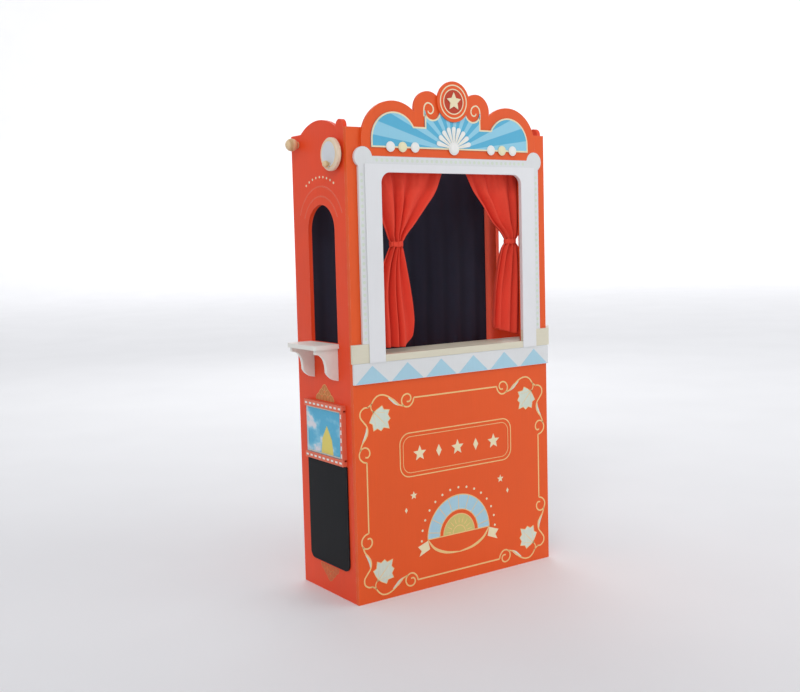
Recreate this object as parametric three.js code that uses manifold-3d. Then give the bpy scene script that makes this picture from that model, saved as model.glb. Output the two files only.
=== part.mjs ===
// A free-standing puppet theatre for children: a painted wooden booth with a framed stage, a crest over it,
// curtains that a wheel on the side draws, a counter and a chalkboard on each side and a cloth at the back.
// Millimetres. X runs across the stage, Y from the audience to the back, Z up from the floor.
import * as THREE from 'three';
import { mergeVertices } from 'three/addons/utils/BufferGeometryUtils.js';
import Module from 'manifold-3d';

// Booth
const WIDTH = 520;              // over the outer faces of the side panels
const SIDE_DEPTH = 208;         // side panel, front edge to rear edge
const SIDE_BOARD = 9;           // side panel thickness
const SHOULDER_RISE = 56.3;     // straight top of the side panels and of the stage frame, over the beam
const FRONT_BOARD = 9;          // lower front and stage frame thickness
const TRIM_BOARD = 6;           // white frame, band, plinths and crest
const RAISED_BOARD = 2.4;       // strip raised on the white frame
const APPLIQUE = 1.6;           // sky panel and fan on the crest
const SEAM = 0.3;               // gap left between pieces that are glued or screwed face to face
const OVERRUN = 5;              // how far a cutting solid runs past what it cuts

// Side panel top, window and the centre line of what is on the sides
const SIDE_CENTRE_AHEAD = 8;    // side centre line, ahead of the middle of the panel
const ARCH_MARGIN = 32;         // half the side panel's depth, less half the arch on top of it
const ARCH_RISE = 22.5;
const LOBE_RADIUS = 14;         // round lobe at the front of the side panel top
const LOBE_RISE = 3;            // its centre, over the straight top
const LOBE_EDGE = 0.5;          // from the lobe to the front edge
const WINDOW_MARGIN = 51;       // half the side panel's depth, less half the window
const SILL_RISE = 37;           // window sill over the underside of the stage floor
const WINDOW_BELOW = 60;        // top of the window, below the top of the stage opening

// Stage opening and its frame
const STILE_REVEAL = 23;        // red stage frame seen beside each white column
const OPENING_RISE = 380;       // top of the opening over the underside of the stage floor
const OPENING_CORNER = 22;
const FRAME_REBATE = 5;         // how much wider than the white frame the hole behind it is
const COLUMN = 52;              // white column width
const RAISED_WIDTH = 38;        // raised strip on the column
const BEAM_STRIP = 16;          // raised strip on the beam
const BEAM_HEIGHT = 31.7;       // white frame above the opening
const EAR_RADIUS = 21;          // round ear at each top corner of the white frame
const EAR_INSET = 12;           // ear's centre, in from the outer edge of the column
const EAR_DROP = 2.7;           // ear's centre, below the top of the beam
const PLINTH_HEIGHT = 38;
const PLINTH_OVERHANG = 3;      // past the side panel

// Stage floor and the band under it
const DECK_Z = 493;             // underside of the stage floor
const DECK_BOARD = 14;
const DECK_BACK = 72;           // stage floor behind the front board
const DECK_NOSE = 1.5;          // stage floor ahead of the white frame
const BAND_HEIGHT = 42;
const CLEAT = 17;
const CLEAT_LENGTH = 56;
const BATTEN = 18;
const BATTEN_DROP = 41;         // top of the corner batten, below the stage floor
const BATTEN_Z = 22;

// Crest
const CREST_INSET = 32;         // crest in from the side of the booth
const CREST_ARCH_RADIUS = 78;   // each side arch
const CREST_ARCH_RISE = 33.3;   // this rise and the next ones are over the beam
const SCROLL_RADIUS = 36;       // rolled scroll beside the medallion
const SCROLL_BESIDE = 21;       // scroll's centre, beside the medallion's edge
const SCROLL_RISE = 99.3;
const CORE_PAST_SCROLL = 7;     // middle of the crest, past the scroll's centre
const CORE_PAST_MEDALLION = 9;  // and above the medallion's centre
const SKY_MARGIN = 22;          // crest rim round the sky panel
const SKY_RISE = 17.3;
const SKY_STEP_RISE = 61.3;
const SKY_PAST_SCROLL = 10;     // step in the sky panel, past the scroll's centre
const SKY_LOBE_INWARDS = 10;    // rolled end of the scroll over the sky, inwards of the scroll's centre
const SKY_LOBE_DROP = 3;        // and below it
const SKY_LOBE_RADIUS = 19;
const SKY_TOP_DROP = 4;
const MEDALLION_RADIUS = 42;
const MEDALLION_RISE = 116.3;
const MEDALLION_BOARD = 4;
const STAR_RADIUS = 19;
const STAR_INNER_SHARE = 0.5;
const STAR_BOARD = 1.8;
const STAR_POINTS = 5;
const BULB_RADIUS = 10.5;
const BULB_BOARD = 3;
const BULB_FACE_SHARE = 0.6;    // flat face of a bulb, as a share of its radius
const BULB_RISE = 19.3;
// Bulbs along the crest, as shares of its half width
const BULB_SHARES = [-0.706, -0.575, -0.439, 0, 0.439, 0.575, 0.706];
const FAN_HUB = 13;
const FAN_TOP_GAP = 9;          // from the fan to the medallion
const FAN_PETALS = 9;
const FAN_PETAL = 10;           // widest part of a petal
const FAN_LOWEST = 14;          // degrees of the lowest petals above level

// Counters on both sides
const SHELF_DEPTH = 58;
const SHELF_PAST_WINDOW = 4;    // each end of the counter, past the window
const SHELF_BOARD = 9;
const SHELF_CORNER = 8;
const BRACKET_BOARD = 9;
const BRACKET_REACH = 52;
const BRACKET_DROP = 66;
const BRACKET_INSET = 5;        // bracket from the end of the shelf
const BRACKET_WAIST_SHARES = [0.52, 0.72];   // reach and drop where the bracket's edge turns
const BRACKET_FOOT_SHARES = [0.34, 0.97];    // reach and drop of its rounded foot

// Chalkboards and the picture holder
const CHALK_BOARD = 3;
const CHALK_MARGIN = 27;        // half the side panel's depth, less half the chalkboard
const CHALK_BOTTOM_Z = 62;
const CHALK_CORNER = 16;
const CHALK_LEFT_DROP = 213;    // top of the left chalkboard, below the underside of the stage floor
const CHALK_RIGHT_DROP = 63;
const HOLDER_INSET = 2;         // picture holder, in from each end of the chalkboard and above it
const HOLDER_HEIGHT = 124;
const RAIL_HEIGHT = 13;
const RAIL_DEPTH = 10;
const RAIL_LIP = 4;             // lip over the picture board's edge, and its thickness
const STOP_WIDTH = 8;
const PICTURE_BOARD = 4.6;
const PICTURE_PLAY = 0.5;

// Rods, knobs and sockets
const ROD_RADIUS = 5;
const BACK_ROD_AHEAD = 27;      // ahead of the rear edge
const BACK_ROD_DROP = 20;       // below the straight top of the side panels
const FRONT_ROD_BEHIND = 12;    // behind the stage frame
const FRONT_ROD_RISE = 19;      // over the top of the stage opening
const SOCKET_RADIUS = 11;
const SOCKET_LENGTH = 10;
const KNOB_RADIUS = 13.5;
const KNOB_NECK_RADIUS = 7;
const KNOB_NECK = 3;
const KNOB_BORE = 12;
const HOLE_PLAY = 0.3;          // rod in a hole or a socket

// Wheel on the left side and the winding dowel that it turns
const WHEEL_RADIUS = 33;
const WHEEL_BOARD = 12;
const WHEEL_EDGE = 3;           // rounding of the rim
const WHEEL_BEHIND_ROD = 20;    // its axis, behind the curtain rod
const WHEEL_RISE = 18;          // and above it
const WHEEL_BORE = 8;
const DOWEL_RADIUS = 6;
const RUNNING_PLAY = 0.1;
const FLANGE_RADIUS = 24;
const FLANGE_BOARD = 3.4;
const SLEEVE_RADIUS = 9.7;
const WHEEL_GAP = 0.6;          // wheel clear of the flange
const HANDLE_RADIUS = 7;
const HANDLE_STEM = 4;
const HANDLE_STEM_LENGTH = 2;
const HANDLE_OFFSET = 20;       // handle from the axis
const HANDLE_LEAN = 6;          // degrees from straight down, towards the front
const BOBBIN_RADIUS = 14;
const BOBBIN_CORE = 9;
const BOBBIN_LENGTH = 16;
const BOBBIN_FLANGE = 2.5;
const BOBBIN_FROM_SIDE = 52;    // bobbin from the side panel
const DOWEL_BUSH_RADIUS = 12;
const DOWEL_BUSH_LENGTH = 12;

// Cloth
const CLOTH = 3;
const POCKET_RADIUS = 8.2;      // rod pocket along the top of a cloth
const POCKET_PLAY = 0.5;
const CURTAIN_END_GAP = 5.7;    // outer edge at the top, clear of the rod's socket
const CURTAIN_FOOT_GAP = 8;     // over the stage floor
const CURTAIN_FOLDS = 4;
const CURTAIN_FOLD_DEPTH = 9;
const WAIST_SHARE = 0.578;      // height of the waist, as a share of the curtain's drop
// Up the curtains, row by row: height as a share of their drop, inner and outer edge of the left one and of the
// right one as shares of their outer edge at the rod, and fold depth as a share of the deepest fold
const CURTAIN_SHARES = [
  [0.000, 0.502, 0.817, 0.553, 0.872, 0.95],
  [0.035, 0.409, 0.826, 0.546, 0.881, 1.00],
  [0.100, 0.389, 0.826, 0.546, 0.885, 1.00],
  [0.300, 0.403, 0.809, 0.562, 0.885, 1.00],
  [0.460, 0.441, 0.731, 0.603, 0.870, 0.90],
  [0.530, 0.472, 0.672, 0.636, 0.848, 0.80],
  [0.578, 0.490, 0.639, 0.676, 0.820, 0.70],
  [0.625, 0.452, 0.664, 0.632, 0.850, 0.80],
  [0.695, 0.340, 0.714, 0.500, 0.897, 0.95],
  [0.790, 0.204, 0.796, 0.384, 0.932, 0.95],
  [0.870, 0.101, 0.885, 0.285, 0.965, 0.80],
  [0.960, 0.060, 0.970, 0.226, 0.996, 0.45],
  [1.000, 0.040, 1.000, 0.196, 1.000, 0.30],
];
const TIE_HEIGHT = 13;
const TIE_BAND = 2.4;
const TIE_PLAY = 0.5;
const TIE_CORNER = 1.5;         // inside corner of the tie
const BACK_CLOTH_SIDE_GAP = 8;  // each side of the back cloth, clear of the side panel
const BACK_CLOTH_TURN_DROP = 2; // where the back cloth swings, below the rear header
const BACK_CLOTH_FOOT_DROP = 23;   // foot of the back cloth, below the stage floor
const BACK_CLOTH = 2;
const BACK_FOLDS = 9;
const BACK_FOLD_DEPTH = 7;
const BACK_SWING_GAP = 0.9;

// Rear boards
const REAR_BOARD = 9;
const REAR_INSET = 2;
const HEADER_HEIGHT = 73;
const HEADER_DROP = 3;          // its top, below the straight top of the side panels
const RAIL_Z = 30;
const REAR_RAIL_HEIGHT = 80;

// Smoothness
const ARC_STEPS = 16;
const ROUND_STEPS = 24;
const SMALL_ROUND_STEPS = 16;
const WHEEL_STEPS = 36;
const BALL_STEPS = 7;           // rings from a ball's neck to its crown
const PETAL_STEPS = 2;
const BACK_ROWS = 4;             // rows of the back cloth
const FOLD_STEPS = 6;           // cloth columns in one fold

// Places worked out from the sizes above
const WHOLE_DEPTH = SIDE_DEPTH + FRONT_BOARD + TRIM_BOARD + MEDALLION_BOARD + STAR_BOARD + 4 * SEAM;
const REAR_Y = WHOLE_DEPTH / 2;
const SIDE_FRONT_Y = REAR_Y - SIDE_DEPTH;
const BOARD_BACK_Y = SIDE_FRONT_Y - SEAM;
const BOARD_FRONT_Y = BOARD_BACK_Y - FRONT_BOARD;
const TRIM_BACK_Y = BOARD_FRONT_Y - SEAM;
const TRIM_FRONT_Y = TRIM_BACK_Y - TRIM_BOARD;
const RAISED_BACK_Y = TRIM_FRONT_Y - SEAM;
const SIDE_X = WIDTH / 2;
const INNER_X = SIDE_X - SIDE_BOARD;
const TRIM_HALF = SIDE_X - STILE_REVEAL;
const OPENING_HALF = TRIM_HALF - COLUMN;
const CREST_HALF = SIDE_X - CREST_INSET;
const CREST_ARCH_X = CREST_HALF - CREST_ARCH_RADIUS;
const EAR_X = TRIM_HALF - EAR_INSET;
const SIDE_HALF = SIDE_DEPTH / 2;
const SIDE_Y = REAR_Y - SIDE_HALF - SIDE_CENTRE_AHEAD;
const ARCH_HALF = SIDE_HALF - ARCH_MARGIN;
const WINDOW_WIDTH = 2 * (SIDE_HALF - WINDOW_MARGIN);
const SHELF_HALF = WINDOW_WIDTH / 2 + SHELF_PAST_WINDOW;
const CHALK_HALF = SIDE_HALF - CHALK_MARGIN;
const HOLDER_HALF = CHALK_HALF - HOLDER_INSET;
const OPENING_TOP_Z = DECK_Z + OPENING_RISE;
const SILL_Z = DECK_Z + SILL_RISE;
const WINDOW_TOP_Z = OPENING_TOP_Z - WINDOW_BELOW;
const BEAM_TOP_Z = OPENING_TOP_Z + BEAM_HEIGHT;
const SHOULDER_Z = BEAM_TOP_Z + SHOULDER_RISE;
const EAR_Z = BEAM_TOP_Z - EAR_DROP;
const CREST_ARCH_Z = BEAM_TOP_Z + CREST_ARCH_RISE;
const SCROLL_X = MEDALLION_RADIUS + SCROLL_BESIDE;
const SCROLL_Z = BEAM_TOP_Z + SCROLL_RISE;
const MEDALLION_Z = BEAM_TOP_Z + MEDALLION_RISE;
const CREST_CORE_HALF = SCROLL_X + CORE_PAST_SCROLL;
const CREST_CORE_Z = MEDALLION_Z + CORE_PAST_MEDALLION;
const SKY_BOTTOM_Z = BEAM_TOP_Z + SKY_RISE;
const SKY_STEP_Z = BEAM_TOP_Z + SKY_STEP_RISE;
const SKY_STEP_X = SCROLL_X + SKY_PAST_SCROLL;
const SKY_LOBE_X = SCROLL_X - SKY_LOBE_INWARDS;
const SKY_LOBE_Z = SCROLL_Z - SKY_LOBE_DROP;
const SKY_TOP_Z = SCROLL_Z - SKY_TOP_DROP;
const BULB_Z = BEAM_TOP_Z + BULB_RISE;
const FAN_REACH = MEDALLION_Z - MEDALLION_RADIUS - FAN_TOP_GAP - BULB_Z;
const CHALK_LEFT_TOP_Z = DECK_Z - CHALK_LEFT_DROP;
const CHALK_RIGHT_TOP_Z = DECK_Z - CHALK_RIGHT_DROP;
const HOLDER_Z = CHALK_LEFT_TOP_Z + HOLDER_INSET;
const BACK_ROD_Z = SHOULDER_Z - BACK_ROD_DROP;
const FRONT_ROD_Z = OPENING_TOP_Z + FRONT_ROD_RISE;
const WHEEL_Z = FRONT_ROD_Z + WHEEL_RISE;
const HEADER_Z = SHOULDER_Z - HEADER_DROP - HEADER_HEIGHT;
const BACK_CLOTH_TURN_Z = HEADER_Z - BACK_CLOTH_TURN_DROP;
const BACK_CLOTH_BOTTOM_Z = DECK_Z - BACK_CLOTH_FOOT_DROP;
const CURTAIN_BOTTOM_Z = DECK_Z + DECK_BOARD + CURTAIN_FOOT_GAP;
const PLINTH_TOP_Z = DECK_Z + PLINTH_HEIGHT;
const ROD_HOLE = ROD_RADIUS + HOLE_PLAY;
const BACK_ROD_Y = REAR_Y - BACK_ROD_AHEAD;
const FRONT_ROD_Y = BOARD_BACK_Y + FRONT_ROD_BEHIND;
const WHEEL_Y = FRONT_ROD_Y + WHEEL_BEHIND_ROD;
const REAR_BOARD_BACK_Y = REAR_Y - REAR_INSET;

const wasm = await Module();
wasm.setup();

// Materials
function paint(name, color, roughness, metalness = 0) {
  return new THREE.MeshStandardMaterial({ name, color, roughness, metalness });
}
const RED_PAINT = paint('red_paint', 0xe8552a, 0.45);
const WHITE_PAINT = paint('white_paint', 0xe9e8e4, 0.45);
const CREAM_PAINT = paint('cream_paint', 0xe4dcc6, 0.5);
const SKY_PAINT = paint('sky_paint', 0x74c4e4, 0.5);
const GOLD_PAINT = paint('gold_paint', 0xd9b25f, 0.35, 0.5);
const CHALK_PAINT = paint('chalk_paint', 0x20242c, 0.85);
const PALE_WOOD = paint('pale_wood', 0xd8bd92, 0.6);
const RED_CLOTH = paint('red_cloth', 0xd93a2c, 0.9);
const BLACK_CLOTH = paint('black_cloth', 0x181a22, 0.95);

// Shapes drawn in a plane and given a thickness
const ACROSS = new THREE.Matrix4().makeBasis(
  new THREE.Vector3(1, 0, 0), new THREE.Vector3(0, 0, 1), new THREE.Vector3(0, -1, 0));
const ALONG = new THREE.Matrix4().makeBasis(
  new THREE.Vector3(0, 1, 0), new THREE.Vector3(0, 0, 1), new THREE.Vector3(1, 0, 0));

function slab(shape, thickness, steps = ARC_STEPS) {
  return new THREE.ExtrudeGeometry(shape, { depth: thickness, bevelEnabled: false, curveSegments: steps });
}

// A board seen from the front: drawn in x and z, its front face at frontY
function frontBoard(shape, frontY, thickness, steps) {
  return slab(shape, thickness, steps).applyMatrix4(ACROSS).translate(0, frontY + thickness, 0);
}

// A board seen from the side: drawn in y and z, its lower face at x
function sideBoard(shape, x, thickness, steps) {
  return slab(shape, thickness, steps).applyMatrix4(ALONG).translate(x, 0, 0);
}

// A board seen from above: drawn in x and y, its underside at z
function flatBoard(shape, z, thickness, steps) {
  return slab(shape, thickness, steps).translate(0, 0, z);
}

function outline(points) {
  return new THREE.Shape(points.map(([a, b]) => new THREE.Vector2(a, b)));
}

function rectangle(a0, a1, b0, b1) {
  return outline([[a0, b0], [a1, b0], [a1, b1], [a0, b1]]);
}

function disc(a, b, radius) {
  const shape = new THREE.Shape();
  shape.absarc(a, b, radius, 0, 2 * Math.PI, false);
  return shape;
}

function halfDisc(a, b, radius) {
  const shape = new THREE.Shape();
  shape.absarc(a, b, radius, 0, Math.PI, false);
  shape.closePath();
  return shape;
}

function boxBetween(x0, x1, y0, y1, z0, z1) {
  return flatBoard(rectangle(x0, x1, y0, y1), z0, z1 - z0);
}

// A turned piece: its profile is [distance along the axis, radius]
function lathe(profile, steps) {
  return new THREE.LatheGeometry(profile.map(([along, radius]) => new THREE.Vector2(radius, along)), steps);
}

// A turned piece whose axis lies along X, towards `way`
function turned(profile, way, steps = ROUND_STEPS) {
  return lathe(profile, steps).rotateZ(way * -Math.PI / 2);
}

// Profile of a ball that swells from a neck of the given radius, `out` along the axis from its seat
function ballProfile(radius, neckRadius, out) {
  const centre = out + Math.sqrt(radius ** 2 - neckRadius ** 2);
  const start = Math.asin(neckRadius / radius);
  return Array.from({ length: BALL_STEPS + 1 }, (_, i) => {
    const turn = start + (Math.PI - start) * i / BALL_STEPS;
    return [centre - radius * Math.cos(turn), i === BALL_STEPS ? 0 : radius * Math.sin(turn)];
  });
}

// A plain tube along X between two places, round the given axis
function tubeX(x0, x1, y, z, outer, inner, steps = SMALL_ROUND_STEPS) {
  const ring = disc(y, z, outer);
  if (inner > 0) ring.holes.push(disc(y, z, inner));
  return sideBoard(ring, x0, x1 - x0, steps / 2);
}

// Solids that are joined or cut
function toSolid(geometry) {
  const bare = geometry.clone();
  bare.deleteAttribute('normal');
  bare.deleteAttribute('uv');
  const merged = mergeVertices(bare);
  return new wasm.Manifold(new wasm.Mesh({
    numProp: 3,
    vertProperties: new Float32Array(merged.attributes.position.array),
    triVerts: new Uint32Array(merged.index.array),
  }));
}

function toGeometry(solid) {
  const mesh = solid.getMesh();
  const geometry = new THREE.BufferGeometry();
  geometry.setAttribute('position', new THREE.BufferAttribute(mesh.vertProperties, 3));
  geometry.setIndex(new THREE.BufferAttribute(mesh.triVerts, 1));
  geometry.computeVertexNormals();
  return geometry;
}

function joined(...geometries) {
  return toGeometry(geometries.map(toSolid).reduce((whole, next) => whole.add(next)));
}

function cut(geometry, ...tools) {
  return toGeometry(tools.map(toSolid).reduce((whole, next) => whole.subtract(next), toSolid(geometry)));
}

const theatre = new THREE.Group();

function add(name, geometry, material, x = 0, y = 0, z = 0) {
  const mesh = new THREE.Mesh(geometry, material);
  mesh.name = name;
  mesh.position.set(x, y, z);
  theatre.add(mesh);
  return mesh;
}

const SIDES = [['left', -1], ['right', 1]];

// A slab of board that lies against a side panel's outer face, on the side given by sign
function onSide(shape, sign, thickness, steps) {
  const near = SIDE_X + SEAM;
  return sideBoard(shape, sign > 0 ? near : -near - thickness, thickness, steps);
}

// Side panels
function lobeMeetsArch() {
  const archRadius = (ARCH_HALF ** 2 + ARCH_RISE ** 2) / (2 * ARCH_RISE);
  const archZ = SHOULDER_Z + ARCH_RISE - archRadius;
  const lobeY = SIDE_FRONT_Y + LOBE_EDGE + LOBE_RADIUS;
  const lobeZ = SHOULDER_Z + LOBE_RISE;
  const apart = Math.hypot(lobeY - SIDE_Y, lobeZ - archZ);
  const lean = Math.atan2(lobeZ - archZ, lobeY - SIDE_Y);
  const half = Math.acos((archRadius ** 2 + apart ** 2 - LOBE_RADIUS ** 2) / (2 * archRadius * apart));
  const angle = lean - half;
  const y = SIDE_Y + archRadius * Math.cos(angle);
  const z = archZ + archRadius * Math.sin(angle);
  return { archRadius, archZ, lobeY, lobeZ, archAngle: angle, lobeAngle: Math.atan2(z - lobeZ, y - lobeY) };
}

function sidePanelShape(roundHoles) {
  const { archRadius, archZ, lobeY, lobeZ, archAngle, lobeAngle } = lobeMeetsArch();
  const archStart = Math.atan2(SHOULDER_Z - archZ, ARCH_HALF);
  const shape = new THREE.Shape();
  shape.moveTo(SIDE_FRONT_Y, 0);
  shape.lineTo(REAR_Y, 0);
  shape.lineTo(REAR_Y, SHOULDER_Z);
  shape.lineTo(SIDE_Y + ARCH_HALF, SHOULDER_Z);
  shape.absarc(SIDE_Y, archZ, archRadius, archStart, archAngle, false);
  shape.absarc(lobeY, lobeZ, LOBE_RADIUS, lobeAngle, Math.PI, false);
  shape.lineTo(SIDE_FRONT_Y, SHOULDER_Z);
  shape.closePath();
  const springZ = WINDOW_TOP_Z - WINDOW_WIDTH / 2;
  const window = new THREE.Path();
  window.moveTo(SIDE_Y - WINDOW_WIDTH / 2, SILL_Z);
  window.lineTo(SIDE_Y + WINDOW_WIDTH / 2, SILL_Z);
  window.absarc(SIDE_Y, springZ, WINDOW_WIDTH / 2, 0, Math.PI, false);
  window.closePath();
  shape.holes.push(window);
  for (const [y, z, radius] of roundHoles) shape.holes.push(disc(y, z, radius));
  return shape;
}

const rodHole = [BACK_ROD_Y, BACK_ROD_Z, ROD_HOLE];
const sleeveHole = [WHEEL_Y, WHEEL_Z, SLEEVE_RADIUS + HOLE_PLAY];
add('side_panel_left', sideBoard(sidePanelShape([rodHole, sleeveHole]), -SIDE_X, SIDE_BOARD), RED_PAINT);
add('side_panel_right', sideBoard(sidePanelShape([rodHole]), INNER_X, SIDE_BOARD), RED_PAINT);

// Front boards
const lowerTopZ = DECK_Z - SEAM;
add('front_lower_board',
  frontBoard(rectangle(-SIDE_X, SIDE_X, 0, lowerTopZ), BOARD_FRONT_Y, FRONT_BOARD), RED_PAINT);

const holeHalf = OPENING_HALF + FRAME_REBATE;
const holeTopZ = OPENING_TOP_Z + FRAME_REBATE;
add('front_stage_frame', frontBoard(outline([
  [-SIDE_X, DECK_Z], [-holeHalf, DECK_Z], [-holeHalf, holeTopZ], [holeHalf, holeTopZ], [holeHalf, DECK_Z],
  [SIDE_X, DECK_Z], [SIDE_X, SHOULDER_Z], [-SIDE_X, SHOULDER_Z]]), BOARD_FRONT_Y, FRONT_BOARD), RED_PAINT);

add('triangle_band', frontBoard(rectangle(-SIDE_X, SIDE_X, DECK_Z - BAND_HEIGHT, lowerTopZ),
  TRIM_FRONT_Y, TRIM_BOARD), WHITE_PAINT);

for (const [side, sign] of SIDES) {
  const [x0, x1] = [OPENING_HALF * sign, (SIDE_X + PLINTH_OVERHANG) * sign].sort((a, b) => a - b);
  add(`plinth_${side}`,
    frontBoard(rectangle(x0, x1, DECK_Z, PLINTH_TOP_Z), TRIM_FRONT_Y, TRIM_BOARD), CREAM_PAINT);
}

// Stage floor, with its narrow nose between the plinths, and what carries it
const deckFrontY = TRIM_FRONT_Y - DECK_NOSE;
const deckBackY = BOARD_BACK_Y + DECK_BACK;
const noseHalf = OPENING_HALF - SEAM;
const deckHalf = INNER_X - SEAM;
const deckShape = outline([
  [-noseHalf, deckFrontY], [noseHalf, deckFrontY], [noseHalf, SIDE_FRONT_Y], [deckHalf, SIDE_FRONT_Y],
  [deckHalf, deckBackY], [-deckHalf, deckBackY], [-deckHalf, SIDE_FRONT_Y], [-noseHalf, SIDE_FRONT_Y]]);
add('stage_floor', flatBoard(deckShape, DECK_Z, DECK_BOARD), CREAM_PAINT);

const cleatBackY = deckBackY - SEAM;
for (const [side, sign] of SIDES) {
  const near = (INNER_X - SEAM) * sign;
  const cleatFar = (INNER_X - SEAM - CLEAT) * sign;
  add(`floor_cleat_${side}`, boxBetween(Math.min(near, cleatFar), Math.max(near, cleatFar),
    cleatBackY - CLEAT_LENGTH + BATTEN, cleatBackY, DECK_Z - SEAM - CLEAT, DECK_Z - SEAM), PALE_WOOD);
  const battenFar = (INNER_X - SEAM - BATTEN) * sign;
  add(`corner_batten_${side}`, boxBetween(Math.min(near, battenFar), Math.max(near, battenFar),
    SIDE_FRONT_Y, SIDE_FRONT_Y + BATTEN, BATTEN_Z, DECK_Z - BATTEN_DROP), PALE_WOOD);
}

// White frame round the stage, with round ears, and the strip raised on it
function openingPath(half, bottomZ, topZ, corner) {
  const path = new THREE.Shape();
  path.moveTo(-half, bottomZ);
  path.lineTo(half, bottomZ);
  path.lineTo(half, topZ - corner);
  path.absarc(half - corner, topZ - corner, corner, 0, Math.PI / 2, false);
  path.absarc(corner - half, topZ - corner, corner, Math.PI / 2, Math.PI, false);
  path.closePath();
  return path;
}
const trimFootZ = PLINTH_TOP_Z + SEAM;
const trimCutDepth = TRIM_BOARD + 2 * OVERRUN;
const trimCutY = TRIM_FRONT_Y - OVERRUN;
add('stage_trim', cut(
  joined(
    frontBoard(rectangle(-TRIM_HALF, TRIM_HALF, trimFootZ, BEAM_TOP_Z), TRIM_FRONT_Y, TRIM_BOARD),
    frontBoard(disc(-EAR_X, EAR_Z, EAR_RADIUS), TRIM_FRONT_Y, TRIM_BOARD),
    frontBoard(disc(EAR_X, EAR_Z, EAR_RADIUS), TRIM_FRONT_Y, TRIM_BOARD)),
  frontBoard(openingPath(OPENING_HALF, trimFootZ - OVERRUN, OPENING_TOP_Z, OPENING_CORNER),
    trimCutY, trimCutDepth)), WHITE_PAINT);

const raisedHalf = OPENING_HALF + RAISED_WIDTH;
const raisedFrontY = RAISED_BACK_Y - RAISED_BOARD;
add('stage_trim_strip', cut(
  frontBoard(rectangle(-raisedHalf, raisedHalf, DECK_Z, OPENING_TOP_Z + BEAM_STRIP),
    raisedFrontY, RAISED_BOARD),
  frontBoard(openingPath(OPENING_HALF, DECK_Z - OVERRUN, OPENING_TOP_Z, OPENING_CORNER),
    raisedFrontY - OVERRUN, RAISED_BOARD + 2 * OVERRUN)), WHITE_PAINT);

// Crest
const crestFootZ = BEAM_TOP_Z + SEAM;
function crestSolid() {
  const parts = [rectangle(-CREST_HALF, CREST_HALF, crestFootZ, CREST_ARCH_Z),
    rectangle(-CREST_CORE_HALF, CREST_CORE_HALF, crestFootZ, CREST_CORE_Z),
    rectangle(-CREST_ARCH_X, CREST_ARCH_X, crestFootZ, SKY_STEP_Z + SKY_MARGIN)];
  for (const [, sign] of SIDES) {
    parts.push(halfDisc(sign * CREST_ARCH_X, CREST_ARCH_Z, CREST_ARCH_RADIUS));
    parts.push(disc(sign * SCROLL_X, SCROLL_Z, SCROLL_RADIUS));
  }
  return joined(...parts.map((shape) => frontBoard(shape, TRIM_FRONT_Y, TRIM_BOARD)));
}
add('crest_board', cut(crestSolid(), ...SIDES.map(([, sign]) =>
  frontBoard(disc(sign * EAR_X, EAR_Z, EAR_RADIUS + SEAM), trimCutY, trimCutDepth))), RED_PAINT);

const skyRadius = CREST_ARCH_RADIUS - SKY_MARGIN;
const skyFrontY = TRIM_FRONT_Y - SEAM - APPLIQUE;
function skyShape() {
  const shape = new THREE.Shape();
  const skyHalf = CREST_ARCH_X + skyRadius;
  const stepAngle = Math.asin((SKY_STEP_Z - CREST_ARCH_Z) / skyRadius);
  shape.moveTo(-skyHalf, SKY_BOTTOM_Z);
  shape.lineTo(skyHalf, SKY_BOTTOM_Z);
  shape.absarc(CREST_ARCH_X, CREST_ARCH_Z, skyRadius, 0, Math.PI - stepAngle, false);
  shape.lineTo(SKY_STEP_X, SKY_STEP_Z);
  shape.lineTo(SKY_STEP_X, SKY_TOP_Z);
  shape.lineTo(-SKY_STEP_X, SKY_TOP_Z);
  shape.lineTo(-SKY_STEP_X, SKY_STEP_Z);
  shape.absarc(-CREST_ARCH_X, CREST_ARCH_Z, skyRadius, stepAngle, Math.PI, false);
  shape.closePath();
  return shape;
}
add('crest_sky_panel', cut(frontBoard(skyShape(), skyFrontY, APPLIQUE),
  frontBoard(disc(0, MEDALLION_Z, MEDALLION_RADIUS + SEAM), skyFrontY - OVERRUN, APPLIQUE + 2 * OVERRUN),
  ...SIDES.map(([, sign]) => frontBoard(disc(sign * SKY_LOBE_X, SKY_LOBE_Z, SKY_LOBE_RADIUS),
    skyFrontY - OVERRUN, APPLIQUE + 2 * OVERRUN))), SKY_PAINT);

const medallionFrontY = TRIM_FRONT_Y - SEAM - MEDALLION_BOARD;
add('crest_medallion',
  frontBoard(disc(0, MEDALLION_Z, MEDALLION_RADIUS), medallionFrontY, MEDALLION_BOARD), RED_PAINT);

function starShape(radius) {
  const points = [];
  for (let i = 0; i < 2 * STAR_POINTS; i++) {
    const reach = i % 2 ? radius * STAR_INNER_SHARE : radius;
    const turn = Math.PI / 2 + i * Math.PI / STAR_POINTS;
    points.push([reach * Math.cos(turn), MEDALLION_Z + reach * Math.sin(turn)]);
  }
  return outline(points);
}
add('crest_star',
  frontBoard(starShape(STAR_RADIUS), medallionFrontY - SEAM - STAR_BOARD, STAR_BOARD), GOLD_PAINT);

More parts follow.
